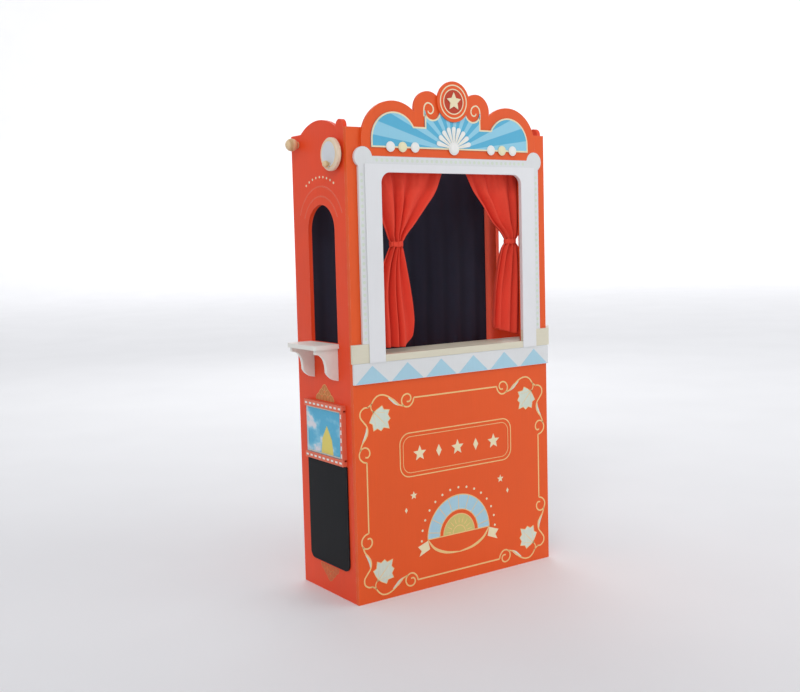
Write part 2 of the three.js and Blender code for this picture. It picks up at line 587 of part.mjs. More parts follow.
const fanFrontY = skyFrontY - SEAM - APPLIQUE;
function fanPetal(degrees) {
  const petal = new THREE.Shape();
  petal.moveTo(0, 0);
  petal.lineTo(FAN_REACH - FAN_PETAL / 2, -FAN_PETAL / 2);
  petal.absarc(FAN_REACH - FAN_PETAL / 2, 0, FAN_PETAL / 2, -Math.PI / 2, Math.PI / 2, false);
  petal.closePath();
  const turn = degrees * Math.PI / 180;
  return slab(petal, APPLIQUE, PETAL_STEPS).rotateZ(turn).applyMatrix4(ACROSS)
    .translate(0, fanFrontY + APPLIQUE, BULB_Z);
}
const petalStep = (180 - 2 * FAN_LOWEST) / (FAN_PETALS - 1);
const petals = Array.from({ length: FAN_PETALS }, (_, i) => fanPetal(FAN_LOWEST + i * petalStep));
add('crest_fan', joined(frontBoard(disc(0, BULB_Z, FAN_HUB), fanFrontY, APPLIQUE), ...petals), CREAM_PAINT);

// Half-round bulbs along the foot of the crest
BULB_SHARES.forEach((share, i) => {
  const x = share * CREST_HALF;
  const seatY = (x === 0 ? fanFrontY : skyFrontY) - SEAM;
  const height = x === 0 ? STAR_BOARD : BULB_BOARD;
  const profile = [[0, 0], [0, BULB_RADIUS], [height / 2, BULB_RADIUS], [height, BULB_RADIUS * BULB_FACE_SHARE],
    [height, 0]];
  add(`crest_bulb_${i + 1}`, lathe(profile, SMALL_ROUND_STEPS).rotateX(Math.PI), WHITE_PAINT, x, seatY, BULB_Z);
});

// Counters under the windows
const shelfZ = SILL_Z - SHELF_BOARD;
function shelfShape(sign) {
  const near = sign * (SIDE_X + SEAM);
  const far = sign * (SIDE_X + SHELF_DEPTH);
  const bend = sign * SHELF_CORNER;
  const shape = new THREE.Shape();
  shape.moveTo(near, SIDE_Y - SHELF_HALF);
  shape.lineTo(far - bend, SIDE_Y - SHELF_HALF);
  shape.quadraticCurveTo(far, SIDE_Y - SHELF_HALF, far, SIDE_Y - SHELF_HALF + SHELF_CORNER);
  shape.lineTo(far, SIDE_Y + SHELF_HALF - SHELF_CORNER);
  shape.quadraticCurveTo(far, SIDE_Y + SHELF_HALF, far - bend, SIDE_Y + SHELF_HALF);
  shape.lineTo(near, SIDE_Y + SHELF_HALF);
  shape.closePath();
  return shape;
}

function bracketShape(sign) {
  const near = sign * (SIDE_X + SEAM);
  const top = shelfZ - SEAM;
  const at = ([reach, drop]) => [near + sign * reach * BRACKET_REACH, top - drop * BRACKET_DROP];
  const [waistX, waistZ] = at(BRACKET_WAIST_SHARES);
  const [footX, footZ] = at(BRACKET_FOOT_SHARES);
  const shape = new THREE.Shape();
  shape.moveTo(near, top);
  const far = near + sign * BRACKET_REACH;
  shape.lineTo(far, top);
  shape.lineTo(far, top - SHELF_BOARD);
  shape.quadraticCurveTo(waistX, top - SHELF_BOARD, waistX, waistZ);
  shape.quadraticCurveTo(footX, footZ, near, top - BRACKET_DROP);
  shape.closePath();
  return shape;
}

const bracketOut = SHELF_HALF - BRACKET_INSET;
for (const [side, sign] of SIDES) {
  add(`counter_${side}`, flatBoard(shelfShape(sign), shelfZ, SHELF_BOARD), CREAM_PAINT);
  add(`counter_bracket_${side}_front`,
    frontBoard(bracketShape(sign), SIDE_Y - bracketOut, BRACKET_BOARD), CREAM_PAINT);
  add(`counter_bracket_${side}_rear`,
    frontBoard(bracketShape(sign), SIDE_Y + bracketOut - BRACKET_BOARD, BRACKET_BOARD), CREAM_PAINT);
}

// Chalkboards
function chalkShape(topZ) {
  const shape = new THREE.Shape();
  const cornerZ = CHALK_BOTTOM_Z + CHALK_CORNER;
  const cornerOut = CHALK_HALF - CHALK_CORNER;
  shape.moveTo(SIDE_Y - CHALK_HALF, topZ);
  shape.lineTo(SIDE_Y - CHALK_HALF, cornerZ);
  shape.absarc(SIDE_Y - cornerOut, cornerZ, CHALK_CORNER, Math.PI, 1.5 * Math.PI, false);
  shape.absarc(SIDE_Y + cornerOut, cornerZ, CHALK_CORNER, -Math.PI / 2, 0, false);
  shape.lineTo(SIDE_Y + CHALK_HALF, topZ);
  shape.closePath();
  return shape;
}
add('chalkboard_left', onSide(chalkShape(CHALK_LEFT_TOP_Z), -1, CHALK_BOARD, ARC_STEPS / 2), CHALK_PAINT);
add('chalkboard_right', onSide(chalkShape(CHALK_RIGHT_TOP_Z), 1, CHALK_BOARD, ARC_STEPS / 2), CHALK_PAINT);

// Holder for the picture board, on the left side: two lipped rails and a stop at the front end
const railNearX = -SIDE_X - SEAM;
const railFarX = railNearX - RAIL_DEPTH;
const lipX = railNearX - PICTURE_BOARD - 2 * PICTURE_PLAY;
const holderTopZ = HOLDER_Z + HOLDER_HEIGHT;
function railGeometry(backZ, innerZ) {
  const lip = Math.sign(innerZ - backZ) * RAIL_LIP;
  const profile = outline([[railNearX, backZ], [railFarX, backZ], [railFarX, innerZ], [lipX, innerZ],
    [lipX, innerZ - lip], [railNearX, innerZ - lip]]);
  return frontBoard(profile, SIDE_Y - HOLDER_HALF, 2 * HOLDER_HALF);
}
add('picture_rail_lower', railGeometry(HOLDER_Z, HOLDER_Z + RAIL_HEIGHT), RED_PAINT);
add('picture_rail_upper', railGeometry(holderTopZ, holderTopZ - RAIL_HEIGHT), RED_PAINT);
add('picture_stop', boxBetween(railFarX, railNearX, SIDE_Y - HOLDER_HALF, SIDE_Y - HOLDER_HALF + STOP_WIDTH,
  HOLDER_Z + RAIL_HEIGHT + SEAM, holderTopZ - RAIL_HEIGHT - SEAM), RED_PAINT);
const pictureLowZ = HOLDER_Z + RAIL_HEIGHT - RAIL_LIP + SEAM;
const pictureHighZ = holderTopZ - RAIL_HEIGHT + RAIL_LIP - PICTURE_PLAY;
const pictureX = railNearX - PICTURE_PLAY - PICTURE_BOARD;
add('picture_board', boxBetween(pictureX, pictureX + PICTURE_BOARD,
  SIDE_Y - HOLDER_HALF + STOP_WIDTH + SEAM, SIDE_Y + HOLDER_HALF, pictureLowZ, pictureHighZ), SKY_PAINT);

// Rear header, with the lower rail that ties the side panels
function rearBoard(z, height) {
  return frontBoard(rectangle(-deckHalf, deckHalf, z, z + height), REAR_BOARD_BACK_Y - REAR_BOARD, REAR_BOARD);
}
add('rear_header', rearBoard(HEADER_Z, HEADER_HEIGHT), RED_PAINT);
add('rear_lower_rail', rearBoard(RAIL_Z, REAR_RAIL_HEIGHT), RED_PAINT);

// Rod for the back cloth, through both side panels, with a ball knob on each end
const backRodHalf = SIDE_X + KNOB_BORE;
add('back_rod', tubeX(-backRodHalf, backRodHalf, BACK_ROD_Y, BACK_ROD_Z, ROD_RADIUS, 0), PALE_WOOD);
const knobProfile = [[KNOB_BORE, 0], [KNOB_BORE, ROD_HOLE], [0, ROD_HOLE], [0, KNOB_NECK_RADIUS],
  ...ballProfile(KNOB_RADIUS, KNOB_NECK_RADIUS, KNOB_NECK)];
for (const [side, sign] of SIDES) {
  add(`rod_knob_${side}`, turned(knobProfile, sign, SMALL_ROUND_STEPS), GOLD_PAINT,
    sign * (SIDE_X + SEAM), BACK_ROD_Y, BACK_ROD_Z);
}

// Rod for the stage curtains, seated in a socket on each side panel
const frontRodHalf = INNER_X - 2 * SEAM;
add('curtain_rod', tubeX(-frontRodHalf, frontRodHalf, FRONT_ROD_Y, FRONT_ROD_Z, ROD_RADIUS, 0), PALE_WOOD);
for (const [side, sign] of SIDES) {
  const near = sign * (INNER_X - SEAM);
  const far = sign * (INNER_X - SEAM - SOCKET_LENGTH);
  add(`rod_socket_${side}`, tubeX(Math.min(near, far), Math.max(near, far), FRONT_ROD_Y, FRONT_ROD_Z,
    SOCKET_RADIUS, ROD_HOLE), PALE_WOOD);
}

// Wheel, dowel, bobbins and bearings of the curtain drive
const bearingBore = DOWEL_RADIUS + RUNNING_PLAY;
const flangeX = SIDE_X + SEAM + FLANGE_BOARD;
const bushProfile = [[-SIDE_BOARD, bearingBore], [-SIDE_BOARD, SLEEVE_RADIUS], [0, SLEEVE_RADIUS],
  [0, FLANGE_RADIUS], [FLANGE_BOARD, FLANGE_RADIUS], [FLANGE_BOARD, bearingBore], [-SIDE_BOARD, bearingBore]];
add('wheel_bush', turned(bushProfile, -1), RED_PAINT, -SIDE_X - SEAM, WHEEL_Y, WHEEL_Z);
const wheelBore = DOWEL_RADIUS + HOLE_PLAY;
const wheelProfile = [[WHEEL_BORE, 0], [WHEEL_BORE, wheelBore], [0, wheelBore], [0, WHEEL_RADIUS - WHEEL_EDGE],
  [WHEEL_EDGE, WHEEL_RADIUS], [WHEEL_BOARD - WHEEL_EDGE, WHEEL_RADIUS],
  [WHEEL_BOARD, WHEEL_RADIUS - WHEEL_EDGE], [WHEEL_BOARD, 0]];
add('draw_wheel', turned(wheelProfile, -1, WHEEL_STEPS), GOLD_PAINT, -flangeX - WHEEL_GAP, WHEEL_Y, WHEEL_Z);
const wheelFaceX = -flangeX - WHEEL_GAP - WHEEL_BOARD;
const handleTurn = HANDLE_LEAN * Math.PI / 180;
const handleProfile = [[0, 0], [0, HANDLE_STEM],
  ...ballProfile(HANDLE_RADIUS, HANDLE_STEM, HANDLE_STEM_LENGTH)];
add('wheel_handle', turned(handleProfile, -1, SMALL_ROUND_STEPS), GOLD_PAINT, wheelFaceX - SEAM,
  WHEEL_Y - HANDLE_OFFSET * Math.sin(handleTurn), WHEEL_Z - HANDLE_OFFSET * Math.cos(handleTurn));
const dowelLeftX = -flangeX - WHEEL_GAP - WHEEL_BORE + SEAM;
const dowelRightX = INNER_X - 2 * SEAM;
add('winding_dowel', tubeX(dowelLeftX, dowelRightX, WHEEL_Y, WHEEL_Z, DOWEL_RADIUS, 0, ROUND_STEPS), PALE_WOOD);
add('dowel_bush', tubeX(INNER_X - SEAM - DOWEL_BUSH_LENGTH, INNER_X - SEAM, WHEEL_Y, WHEEL_Z, DOWEL_BUSH_RADIUS,
  bearingBore, ROUND_STEPS), PALE_WOOD);
const bobbinProfile = [[0, wheelBore], [0, BOBBIN_RADIUS], [BOBBIN_FLANGE, BOBBIN_RADIUS],
  [BOBBIN_FLANGE, BOBBIN_CORE], [BOBBIN_LENGTH - BOBBIN_FLANGE, BOBBIN_CORE],
  [BOBBIN_LENGTH - BOBBIN_FLANGE, BOBBIN_RADIUS], [BOBBIN_LENGTH, BOBBIN_RADIUS], [BOBBIN_LENGTH, wheelBore],
  [0, wheelBore]];
for (const [side, sign] of SIDES) {
  add(`bobbin_${side}`, turned(bobbinProfile, sign), PALE_WOOD, sign * (INNER_X - BOBBIN_FROM_SIDE),
    WHEEL_Y, WHEEL_Z);
}

// Hanging cloth: place(u, v) gives the middle of the cloth, u across it and v up it; thickness is front to back
function clothSolid(columns, rows, thickness, place, mirrored) {
  const positions = [];
  for (const half of [-thickness / 2, thickness / 2]) {
    for (let j = 0; j <= rows; j++) {
      for (let i = 0; i <= columns; i++) {
        const [x, y, z] = place(i / columns, j / rows);
        positions.push(x, y + half, z);
      }
    }
  }
  const layer = (columns + 1) * (rows + 1);
  const at = (i, j, back) => back * layer + j * (columns + 1) + i;
  const index = [];
  const quad = (a, b, c, d) => index.push(a, b, c, a, c, d);
  for (let j = 0; j < rows; j++) {
    for (let i = 0; i < columns; i++) {
      quad(at(i, j, 0), at(i + 1, j, 0), at(i + 1, j + 1, 0), at(i, j + 1, 0));
      quad(at(i, j, 1), at(i, j + 1, 1), at(i + 1, j + 1, 1), at(i + 1, j, 1));
    }
  }
  for (let i = 0; i < columns; i++) {
    quad(at(i, 0, 1), at(i + 1, 0, 1), at(i + 1, 0, 0), at(i, 0, 0));
    quad(at(i, rows, 0), at(i + 1, rows, 0), at(i + 1, rows, 1), at(i, rows, 1));
  }
  for (let j = 0; j < rows; j++) {
    quad(at(0, j, 1), at(0, j, 0), at(0, j + 1, 0), at(0, j + 1, 1));
    quad(at(columns, j, 0), at(columns, j, 1), at(columns, j + 1, 1), at(columns, j + 1, 0));
  }
  if (mirrored) {
    for (let k = 0; k < index.length; k += 3) [index[k + 1], index[k + 2]] = [index[k + 2], index[k + 1]];
  }
  const geometry = new THREE.BufferGeometry();
  geometry.setAttribute('position', new THREE.Float32BufferAttribute(positions, 3));
  geometry.setIndex(index);
  return geometry;
}

// Stage curtains, drawn open: gathered on the rod, pulled to a waist and flaring below it
const pocketBore = ROD_RADIUS + POCKET_PLAY;
const pocketSeam = (POCKET_RADIUS + pocketBore) / 2;    // where a cloth joins its rod pocket
const curtainTopZ = FRONT_ROD_Z - pocketSeam;
const curtainDrop = curtainTopZ - CURTAIN_BOTTOM_Z;
const curtainRows = CURTAIN_SHARES.length - 1;
const curtainOuter = INNER_X - SEAM - SOCKET_LENGTH - CURTAIN_END_GAP;

// One curtain's height, inner edge, outer edge and fold depth shares, from a row of the table
function curtainRow(row, sign) {
  const [height, leftInner, leftOuter, rightInner, rightOuter, fold] = row;
  return sign < 0 ? [height, leftInner, leftOuter, fold] : [height, rightInner, rightOuter, fold];
}

function curtainPlace(sign) {
  return (u, v) => {
    const [height, inner, outer, fold] = curtainRow(CURTAIN_SHARES[Math.round(v * curtainRows)], sign);
    const depth = CURTAIN_FOLD_DEPTH * fold * Math.cos(2 * Math.PI * CURTAIN_FOLDS * u);
    return [sign * curtainOuter * (outer + (inner - outer) * u), FRONT_ROD_Y + depth,
      CURTAIN_BOTTOM_Z + height * curtainDrop];
  };
}

// Inner edge, outer edge and fold depth shares at any height
function curtainAt(z, sign) {
  const share = (z - CURTAIN_BOTTOM_Z) / curtainDrop;
  let k = 0;
  while (k < curtainRows - 1 && share > CURTAIN_SHARES[k + 1][0]) k++;
  const [low, high] = [curtainRow(CURTAIN_SHARES[k], sign), curtainRow(CURTAIN_SHARES[k + 1], sign)];
  const t = (share - low[0]) / (high[0] - low[0]);
  return low.slice(1).map((value, n) => value + (high[n + 1] - value) * t);
}

// A band drawn round the waist, loose enough to clear the folds over its whole height
function tieRing(middle, halfWide, halfDeep, r) {
  const left = middle - halfWide + r;
  const right = middle + halfWide - r;
  const front = FRONT_ROD_Y - halfDeep + r;
  const rear = FRONT_ROD_Y + halfDeep - r;
  const shape = new THREE.Shape();
  shape.moveTo(left, front - r);
  shape.absarc(right, front, r, -Math.PI / 2, 0, false);
  shape.absarc(right, rear, r, 0, Math.PI / 2, false);
  shape.absarc(left, rear, r, Math.PI / 2, Math.PI, false);
  shape.absarc(left, front, r, Math.PI, 1.5 * Math.PI, false);
  return shape;
}
const waistZ = CURTAIN_BOTTOM_Z + WAIST_SHARE * curtainDrop;

for (const [side, sign] of SIDES) {
  const cloth = clothSolid(CURTAIN_FOLDS * FOLD_STEPS, curtainRows, CLOTH, curtainPlace(sign), sign > 0);
  const [, topInner, topOuter] = curtainRow(CURTAIN_SHARES[curtainRows], sign);
  const ends = [sign * curtainOuter * topInner, sign * curtainOuter * topOuter].sort((a, b) => a - b);
  const pocket = tubeX(ends[0], ends[1], FRONT_ROD_Y, FRONT_ROD_Z, POCKET_RADIUS, 0);
  const bore = tubeX(ends[0] - OVERRUN, ends[1] + OVERRUN, FRONT_ROD_Y, FRONT_ROD_Z, pocketBore, 0);
  add(`curtain_${side}`, cut(joined(cloth, pocket), bore), RED_CLOTH);

  const waist = [-TIE_HEIGHT / 2, 0, TIE_HEIGHT / 2].map((up) => curtainAt(waistZ + up, sign));
  const waistInner = curtainOuter * Math.min(...waist.map((row) => row[0])) - TIE_PLAY;
  const waistOuter = curtainOuter * Math.max(...waist.map((row) => row[1])) + TIE_PLAY;
  const waistDeep = CURTAIN_FOLD_DEPTH * Math.max(...waist.map((row) => row[2])) + CLOTH / 2 + TIE_PLAY;
  const middle = sign * (waistInner + waistOuter) / 2;
  const half = (waistOuter - waistInner) / 2;
  const band = tieRing(middle, half + TIE_BAND, waistDeep + TIE_BAND, TIE_CORNER + TIE_BAND);
  band.holes.push(tieRing(middle, half, waistDeep, TIE_CORNER));
  add(`curtain_tie_${side}`, flatBoard(band, waistZ - TIE_HEIGHT / 2, TIE_HEIGHT, PETAL_STEPS), RED_CLOTH);
}

// Back cloth: its heading is fixed round the rod, and the drop below the rear header swings
const backClothHalf = INNER_X - BACK_CLOTH_SIDE_GAP;
const headingFootZ = BACK_CLOTH_TURN_Z + BACK_SWING_GAP;
const headingTopZ = BACK_ROD_Z - pocketSeam;
const heading = boxBetween(-backClothHalf, backClothHalf, BACK_ROD_Y - BACK_CLOTH / 2,
  BACK_ROD_Y + BACK_CLOTH / 2, headingFootZ, headingTopZ);
add('back_cloth_heading', cut(
  joined(heading, tubeX(-backClothHalf, backClothHalf, BACK_ROD_Y, BACK_ROD_Z, POCKET_RADIUS, 0)),
  tubeX(-backClothHalf - OVERRUN, backClothHalf + OVERRUN, BACK_ROD_Y, BACK_ROD_Z, pocketBore, 0)),
BLACK_CLOTH);
const backDrop = BACK_CLOTH_TURN_Z - BACK_CLOTH_BOTTOM_Z;
add('back_cloth', clothSolid(BACK_FOLDS * FOLD_STEPS, BACK_ROWS, BACK_CLOTH, (u, v) => [
  backClothHalf * (2 * u - 1),
  BACK_ROD_Y + BACK_FOLD_DEPTH * Math.sqrt(1 - v) * Math.cos(2 * Math.PI * BACK_FOLDS * u),
  BACK_CLOTH_BOTTOM_Z + v * backDrop]), BLACK_CLOTH);

export default theatre;
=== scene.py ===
"""Puppet theatre: paint, ornament, curtains and back cloth on the booth's boards, in a plain studio."""
import math
import random

import bmesh
import bpy
from bpy.props import FloatProperty, FloatVectorProperty, IntProperty, PointerProperty
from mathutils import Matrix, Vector


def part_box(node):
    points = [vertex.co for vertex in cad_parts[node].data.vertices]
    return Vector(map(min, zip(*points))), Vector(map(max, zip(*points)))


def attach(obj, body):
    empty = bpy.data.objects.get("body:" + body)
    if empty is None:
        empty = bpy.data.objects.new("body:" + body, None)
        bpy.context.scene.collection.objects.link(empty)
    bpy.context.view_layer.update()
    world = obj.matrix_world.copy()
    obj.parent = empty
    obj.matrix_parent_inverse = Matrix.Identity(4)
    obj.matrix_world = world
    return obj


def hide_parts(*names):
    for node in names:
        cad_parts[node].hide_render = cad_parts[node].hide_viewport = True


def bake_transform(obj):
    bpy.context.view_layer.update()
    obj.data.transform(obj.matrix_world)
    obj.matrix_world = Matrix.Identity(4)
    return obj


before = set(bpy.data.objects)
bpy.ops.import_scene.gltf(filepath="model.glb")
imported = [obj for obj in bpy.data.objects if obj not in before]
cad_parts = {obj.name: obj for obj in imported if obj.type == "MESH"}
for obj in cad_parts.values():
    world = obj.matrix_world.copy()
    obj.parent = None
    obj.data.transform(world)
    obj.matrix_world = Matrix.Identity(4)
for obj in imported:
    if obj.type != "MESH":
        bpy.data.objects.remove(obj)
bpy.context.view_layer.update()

bl_info = {
    "name": "Puppet Theatre",
    "version": (1, 0, 0),
    "blender": (4, 5, 0),
    "location": "View3D > Sidebar > Theatre",
    "description": "Paints a wooden puppet theatre, hangs its curtains and sets up the view of it",
    "category": "Object",
}

MM = 0.001


# Settings

def colour_prop(name, description, value):
    return FloatVectorProperty(name=name, description=description, subtype='COLOR', size=3, min=0, max=1,
                               default=value)


def length_prop(name, description, value):
    return FloatProperty(name=name, description=description, default=value, min=0, unit='LENGTH')


class TheatrePaint(bpy.types.PropertyGroup):
    """Colours of the paint, as linear values"""
    front_red: colour_prop("Front red", "Paint of the boards that face the audience", (0.86, 0.103, 0.011))
    side_red: colour_prop("Side red", "Paint of the side panels", (0.88, 0.066, 0.012))
    white: colour_prop("White", "Paint of the frame round the stage", (0.77, 0.79, 0.79))
    cream: colour_prop("Cream", "Paint of the plinths and stage floor", (0.75, 0.71, 0.56))
    sky: colour_prop("Sky", "Deeper blue of the sky panel", (0.10, 0.47, 0.70))
    pale_sky: colour_prop("Pale sky", "Rays on the sky panel", (0.30, 0.65, 0.82))
    band_blue: colour_prop("Band blue", "Triangles under the stage", (0.42, 0.67, 0.79))
    gold: colour_prop("Gold", "Painted ornament", (0.92, 0.62, 0.25))
    pale_gold: colour_prop("Pale gold", "Lighter painted ornament", (0.90, 0.80, 0.52))
    leaf: colour_prop("Leaf", "Pale fill of the painted leaves", (0.70, 0.77, 0.66))
    yellow: colour_prop("Yellow", "Yellow of the painted motifs", (0.80, 0.68, 0.16))
    chalk: colour_prop("Chalkboard", "Chalkboard paint", (0.010, 0.011, 0.013))
    # Paler edges: paint rubbed thin together with a painted highlight along the edges, both set by this
    # amount
    edge_wear_and_highlight: FloatProperty(name="Edge wear and highlight", description="How much the paint is worn along edges", default=0.35,
                        min=0, max=1)


class TheatreCloth(bpy.types.PropertyGroup):
    """Curtains and back cloth"""
    red: colour_prop("Curtain red", "Lit side of the curtain folds", (0.88, 0.074, 0.040))
    # Painted shade: the colour that the fold valleys and the gaps between threads are darkened towards
    cloth_shade_red: colour_prop("Deep red", "Depth of the curtain folds", (0.50, 0.020, 0.014))
    black: colour_prop("Back cloth", "Cloth at the back of the stage", (0.026, 0.030, 0.054))
    thickness: length_prop("Cloth thickness", "Thickness of the cloth", 0.9 * MM)
    folds: FloatProperty(name="Folds", description="Broad folds across one curtain", default=4.1, min=3,
                         max=9)
    fold_depth: length_prop("Fold depth", "Half the depth of the broad folds", 7.6 * MM)
    back_pleats: IntProperty(name="Back pleats", description="Pleats across the back cloth", default=10,
                             min=4, max=24)


class TheatreTrim(bpy.types.PropertyGroup):
    """Painted ornament and board edges"""
    edge: length_prop("Edge rounding", "Rounding of the boards' edges", 1.0 * MM)
    paint: length_prop("Paint relief", "Height of the painted lines", 0.3 * MM)
    under: length_prop("First coat", "Height of the filled shapes that lines are painted over", 0.17 * MM)
    line: length_prop("Line", "Width of the painted border line", 3.1 * MM)
    dot: length_prop("Dot", "Width of the painted dots on the white frame", 7.0 * MM)
    rays: IntProperty(name="Rays", description="Rays on the sky panel, over half a turn", default=11, min=4,
                      max=40)


class TheatreStudio(bpy.types.PropertyGroup):
    """Camera and light"""
    place: FloatVectorProperty(name="Camera", description="Where the camera stands", subtype='TRANSLATION',
                               size=3, default=(-1.3638, -1.8594, 0.7356))
    turn: FloatVectorProperty(name="Camera turn", description="How the camera is turned", subtype='EULER',
                              size=3, default=tuple(math.radians(a) for a in (85.314, 1.403, -35.211)))
    lens: FloatProperty(name="Lens", description="Focal length in millimetres", default=47.2, min=10)
    shift: FloatVectorProperty(name="Shift", description="Shift of the lens", size=2,
                               default=(-0.0066, -0.0242))
    floor: colour_prop("Floor", "Studio floor", (0.90, 0.90, 0.91))
    around: colour_prop("Surroundings", "Soft light from all around", (0.86, 0.87, 0.90))
    around_power: FloatProperty(name="Surrounding light", description="Strength of that light", default=0.76,
                                min=0)


GROUPS = {"theatre_paint": TheatrePaint, "theatre_cloth": TheatreCloth, "theatre_trim": TheatreTrim,
          "theatre_studio": TheatreStudio}


def paint():
    return bpy.context.scene.theatre_paint


def cloth():
    return bpy.context.scene.theatre_cloth


def trim():
    return bpy.context.scene.theatre_trim


# Places of the frame's pieces

def middle(name):
    """Middle of a piece, in metres."""
    low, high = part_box(name)
    return (low + high) / 2


def box_mm(name):
    """Lowest and highest corner of a piece, in millimetres."""
    return [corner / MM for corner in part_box(name)]


# Shader groups

class Wiring:
    """Short way to place and join nodes in one tree."""

    def __init__(self, tree):
        self.tree = tree

    def join(self, source, target):
        self.tree.links.new(source, target)

    def feed(self, socket, value):
        if isinstance(value, bpy.types.NodeSocket):
            self.join(value, socket)
        elif value is not None:
            socket.default_value = value

    def node(self, kind, inputs=None, **values):
        """A node with values set on it and some of its inputs fed."""
        node = self.tree.nodes.new('ShaderNode' + kind)
        for key, value in values.items():
            setattr(node, key, value)
        for label, value in (inputs or {}).items():
            self.feed(node.inputs[label], value)
        return node

    def math(self, operation, a, b=None, clamp=False):
        return self.node('Math', {0: a, 1: b}, operation=operation, use_clamp=clamp).outputs[0]

    def add(self, a, b, clamp=False):
        return self.math('ADD', a, b, clamp)

    def less(self, a, b):
        return self.math('SUBTRACT', a, b)

    def times(self, a, b, clamp=False):
        return self.math('MULTIPLY', a, b, clamp)

    def mix(self, factor, a, b):
        return self.node('Mix', {'Factor': factor, 6: a, 7: b}, data_type='RGBA').outputs[2]

    def noise(self, vector, scale, detail=3.0, roughness=0.55):
        return self.node('TexNoise', {'Vector': vector, 'Scale': scale, 'Detail': detail,
                                      'Roughness': roughness}).outputs['Fac']

    def ramp(self, value, low, high):
        return self.node('MapRange', {'Value': value, 'From Min': low, 'From Max': high}, clamp=True,
                         interpolation_type='SMOOTHSTEP').outputs['Result']

    def stretched(self, vector, scale):
        return self.node('Mapping', {'Vector': vector, 'Scale': scale}).outputs['Vector']

    def toned(self, colour, value):
        """The colour made lighter or darker by a value round one."""
        return self.node('HueSaturation', {'Color': colour, 'Value': value}).outputs[0]

    def place(self):
        """Where a point lies on its own piece."""
        return self.node('TexCoord').outputs['Object']

    def parts(self, vector):
        return self.node('SeparateXYZ', {0: vector}).outputs


def new_group(name, inputs):
    """A group that gives colour, roughness and height, with its wiring, its inputs and a way to give."""
    group = bpy.data.node_groups.new(name, 'ShaderNodeTree')
    for label, kind, value in inputs:
        socket = group.interface.new_socket(name=label, in_out='INPUT', socket_type='NodeSocket' + kind)
        socket.default_value = value
    for label, kind in (("Colour", 'Color'), ("Roughness", 'Float'), ("Height", 'Float')):
        group.interface.new_socket(name=label, in_out='OUTPUT', socket_type='NodeSocket' + kind)
    w = Wiring(group)
    given, out = group.nodes.new('NodeGroupInput'), group.nodes.new('NodeGroupOutput')

    def give(*sockets):
        for source, target in zip(sockets, out.inputs):
            w.join(source, target)

    return group, w, given.outputs, give


def brushed_paint_group():
    """Painted wood: soft tone changes, fine brush marks, and paler paint rubbed thin along the edges."""
    group, w, given, give = new_group("Brushed paint", [
        ("Colour", 'Color', (0.8, 0.1, 0.03, 1)), ("Worn and lit edge", 'Color', (0.9, 0.6, 0.45, 1)),
        ("Tone", 'Float', 0.08), ("Edge wear and highlight", 'Float', 0.3), ("Edge", 'Float', 0.0012), ("Across", 'Float', 0.0)])
    bristles, stroke = 520.0, 14.0
    place = w.place()
    blotch = w.noise(place, 7.0, 2.0)
    upright = w.noise(w.stretched(place, (bristles, bristles, stroke)), 1.0, 2.0)
    level = w.noise(w.stretched(place, (stroke, stroke, bristles)), 1.0, 2.0)
    marks = w.node('Mix', {'Factor': given['Across'], 2: upright, 3: level}, data_type='FLOAT').outputs[0]
    grit = w.noise(place, 900.0, 2.0)
    change = w.add(w.times(w.less(blotch, 0.5), 1.4), w.times(w.less(marks, 0.5), 0.9))
    light = w.add(1.0, w.times(change, given['Tone']))
    # Paler edges: partly paint rubbed thin, partly a painted highlight where the edges catch the light
    rounded = w.node('Bevel', {'Radius': given['Edge']}, samples=4).outputs[0]
    flat = w.node('NewGeometry').outputs['Normal']
    alike = w.node('VectorMath', {0: rounded, 1: flat}, operation='DOT_PRODUCT').outputs['Value']
    edge = w.ramp(w.less(1.0, alike), 0.01, 0.18)
    patchy = w.ramp(w.noise(place, 60.0), 0.42, 0.66)
    worn_and_lit_edges = w.times(w.times(edge, w.add(0.35, patchy)), given['Edge wear and highlight'], clamp=True)
    give(w.mix(worn_and_lit_edges, w.toned(given['Colour'], light), given['Worn and lit edge']),
         w.add(w.add(0.40, w.times(blotch, 0.16)), w.times(worn_and_lit_edges, 0.2)),
         w.add(w.times(marks, 0.7), w.times(grit, 0.3)))
    return group


def weave_group():
    """Plain weave from the cloth's own measured coordinates, with a slow fade and slubs."""
    group, w, given, give = new_group("Weave", [
        ("Colour", 'Color', (0.8, 0.05, 0.03, 1)), ("Shade", 'Color', (0.4, 0.02, 0.01, 1)),
        ("Threads", 'Float', 1400.0), ("Fade", 'Float', 0.12), ("Depth", 'Float', 0.5)])
    flat = w.node('UVMap', uv_map="cloth").outputs['UV']
    warp, weft = (w.math('ABSOLUTE', w.math('SINE', w.times(part, given['Threads'])))
                  for part in w.parts(flat)[:2])
    both = w.times(w.add(warp, weft), 0.5)
    slub = w.noise(w.stretched(flat, (30.0, 700.0, 1.0)), 1.0, 2.0)
    cloud = w.noise(flat, 9.0)
    tone = w.add(1.0, w.times(w.less(w.add(cloud, slub), 1.0), given['Fade']))
    # Painted shade in the gaps between the threads
    thread_gap_shade = w.times(w.less(1.0, both), given['Depth'])
    # Painted shade in the fold valleys, stored on each point of the cloth
    fold_shade = w.node('Attribute', attribute_name="fold_shade").outputs['Fac']
    # Where these painted shades fall, the colour turns towards the shade colour
    dark = w.add(w.times(thread_gap_shade, 0.35), w.times(fold_shade, 0.32), clamp=True)
    give(w.mix(dark, w.toned(given['Colour'], tone), given['Shade']), w.add(0.72, w.times(slub, 0.2)),
         w.add(both, w.times(slub, 0.6)))
    return group


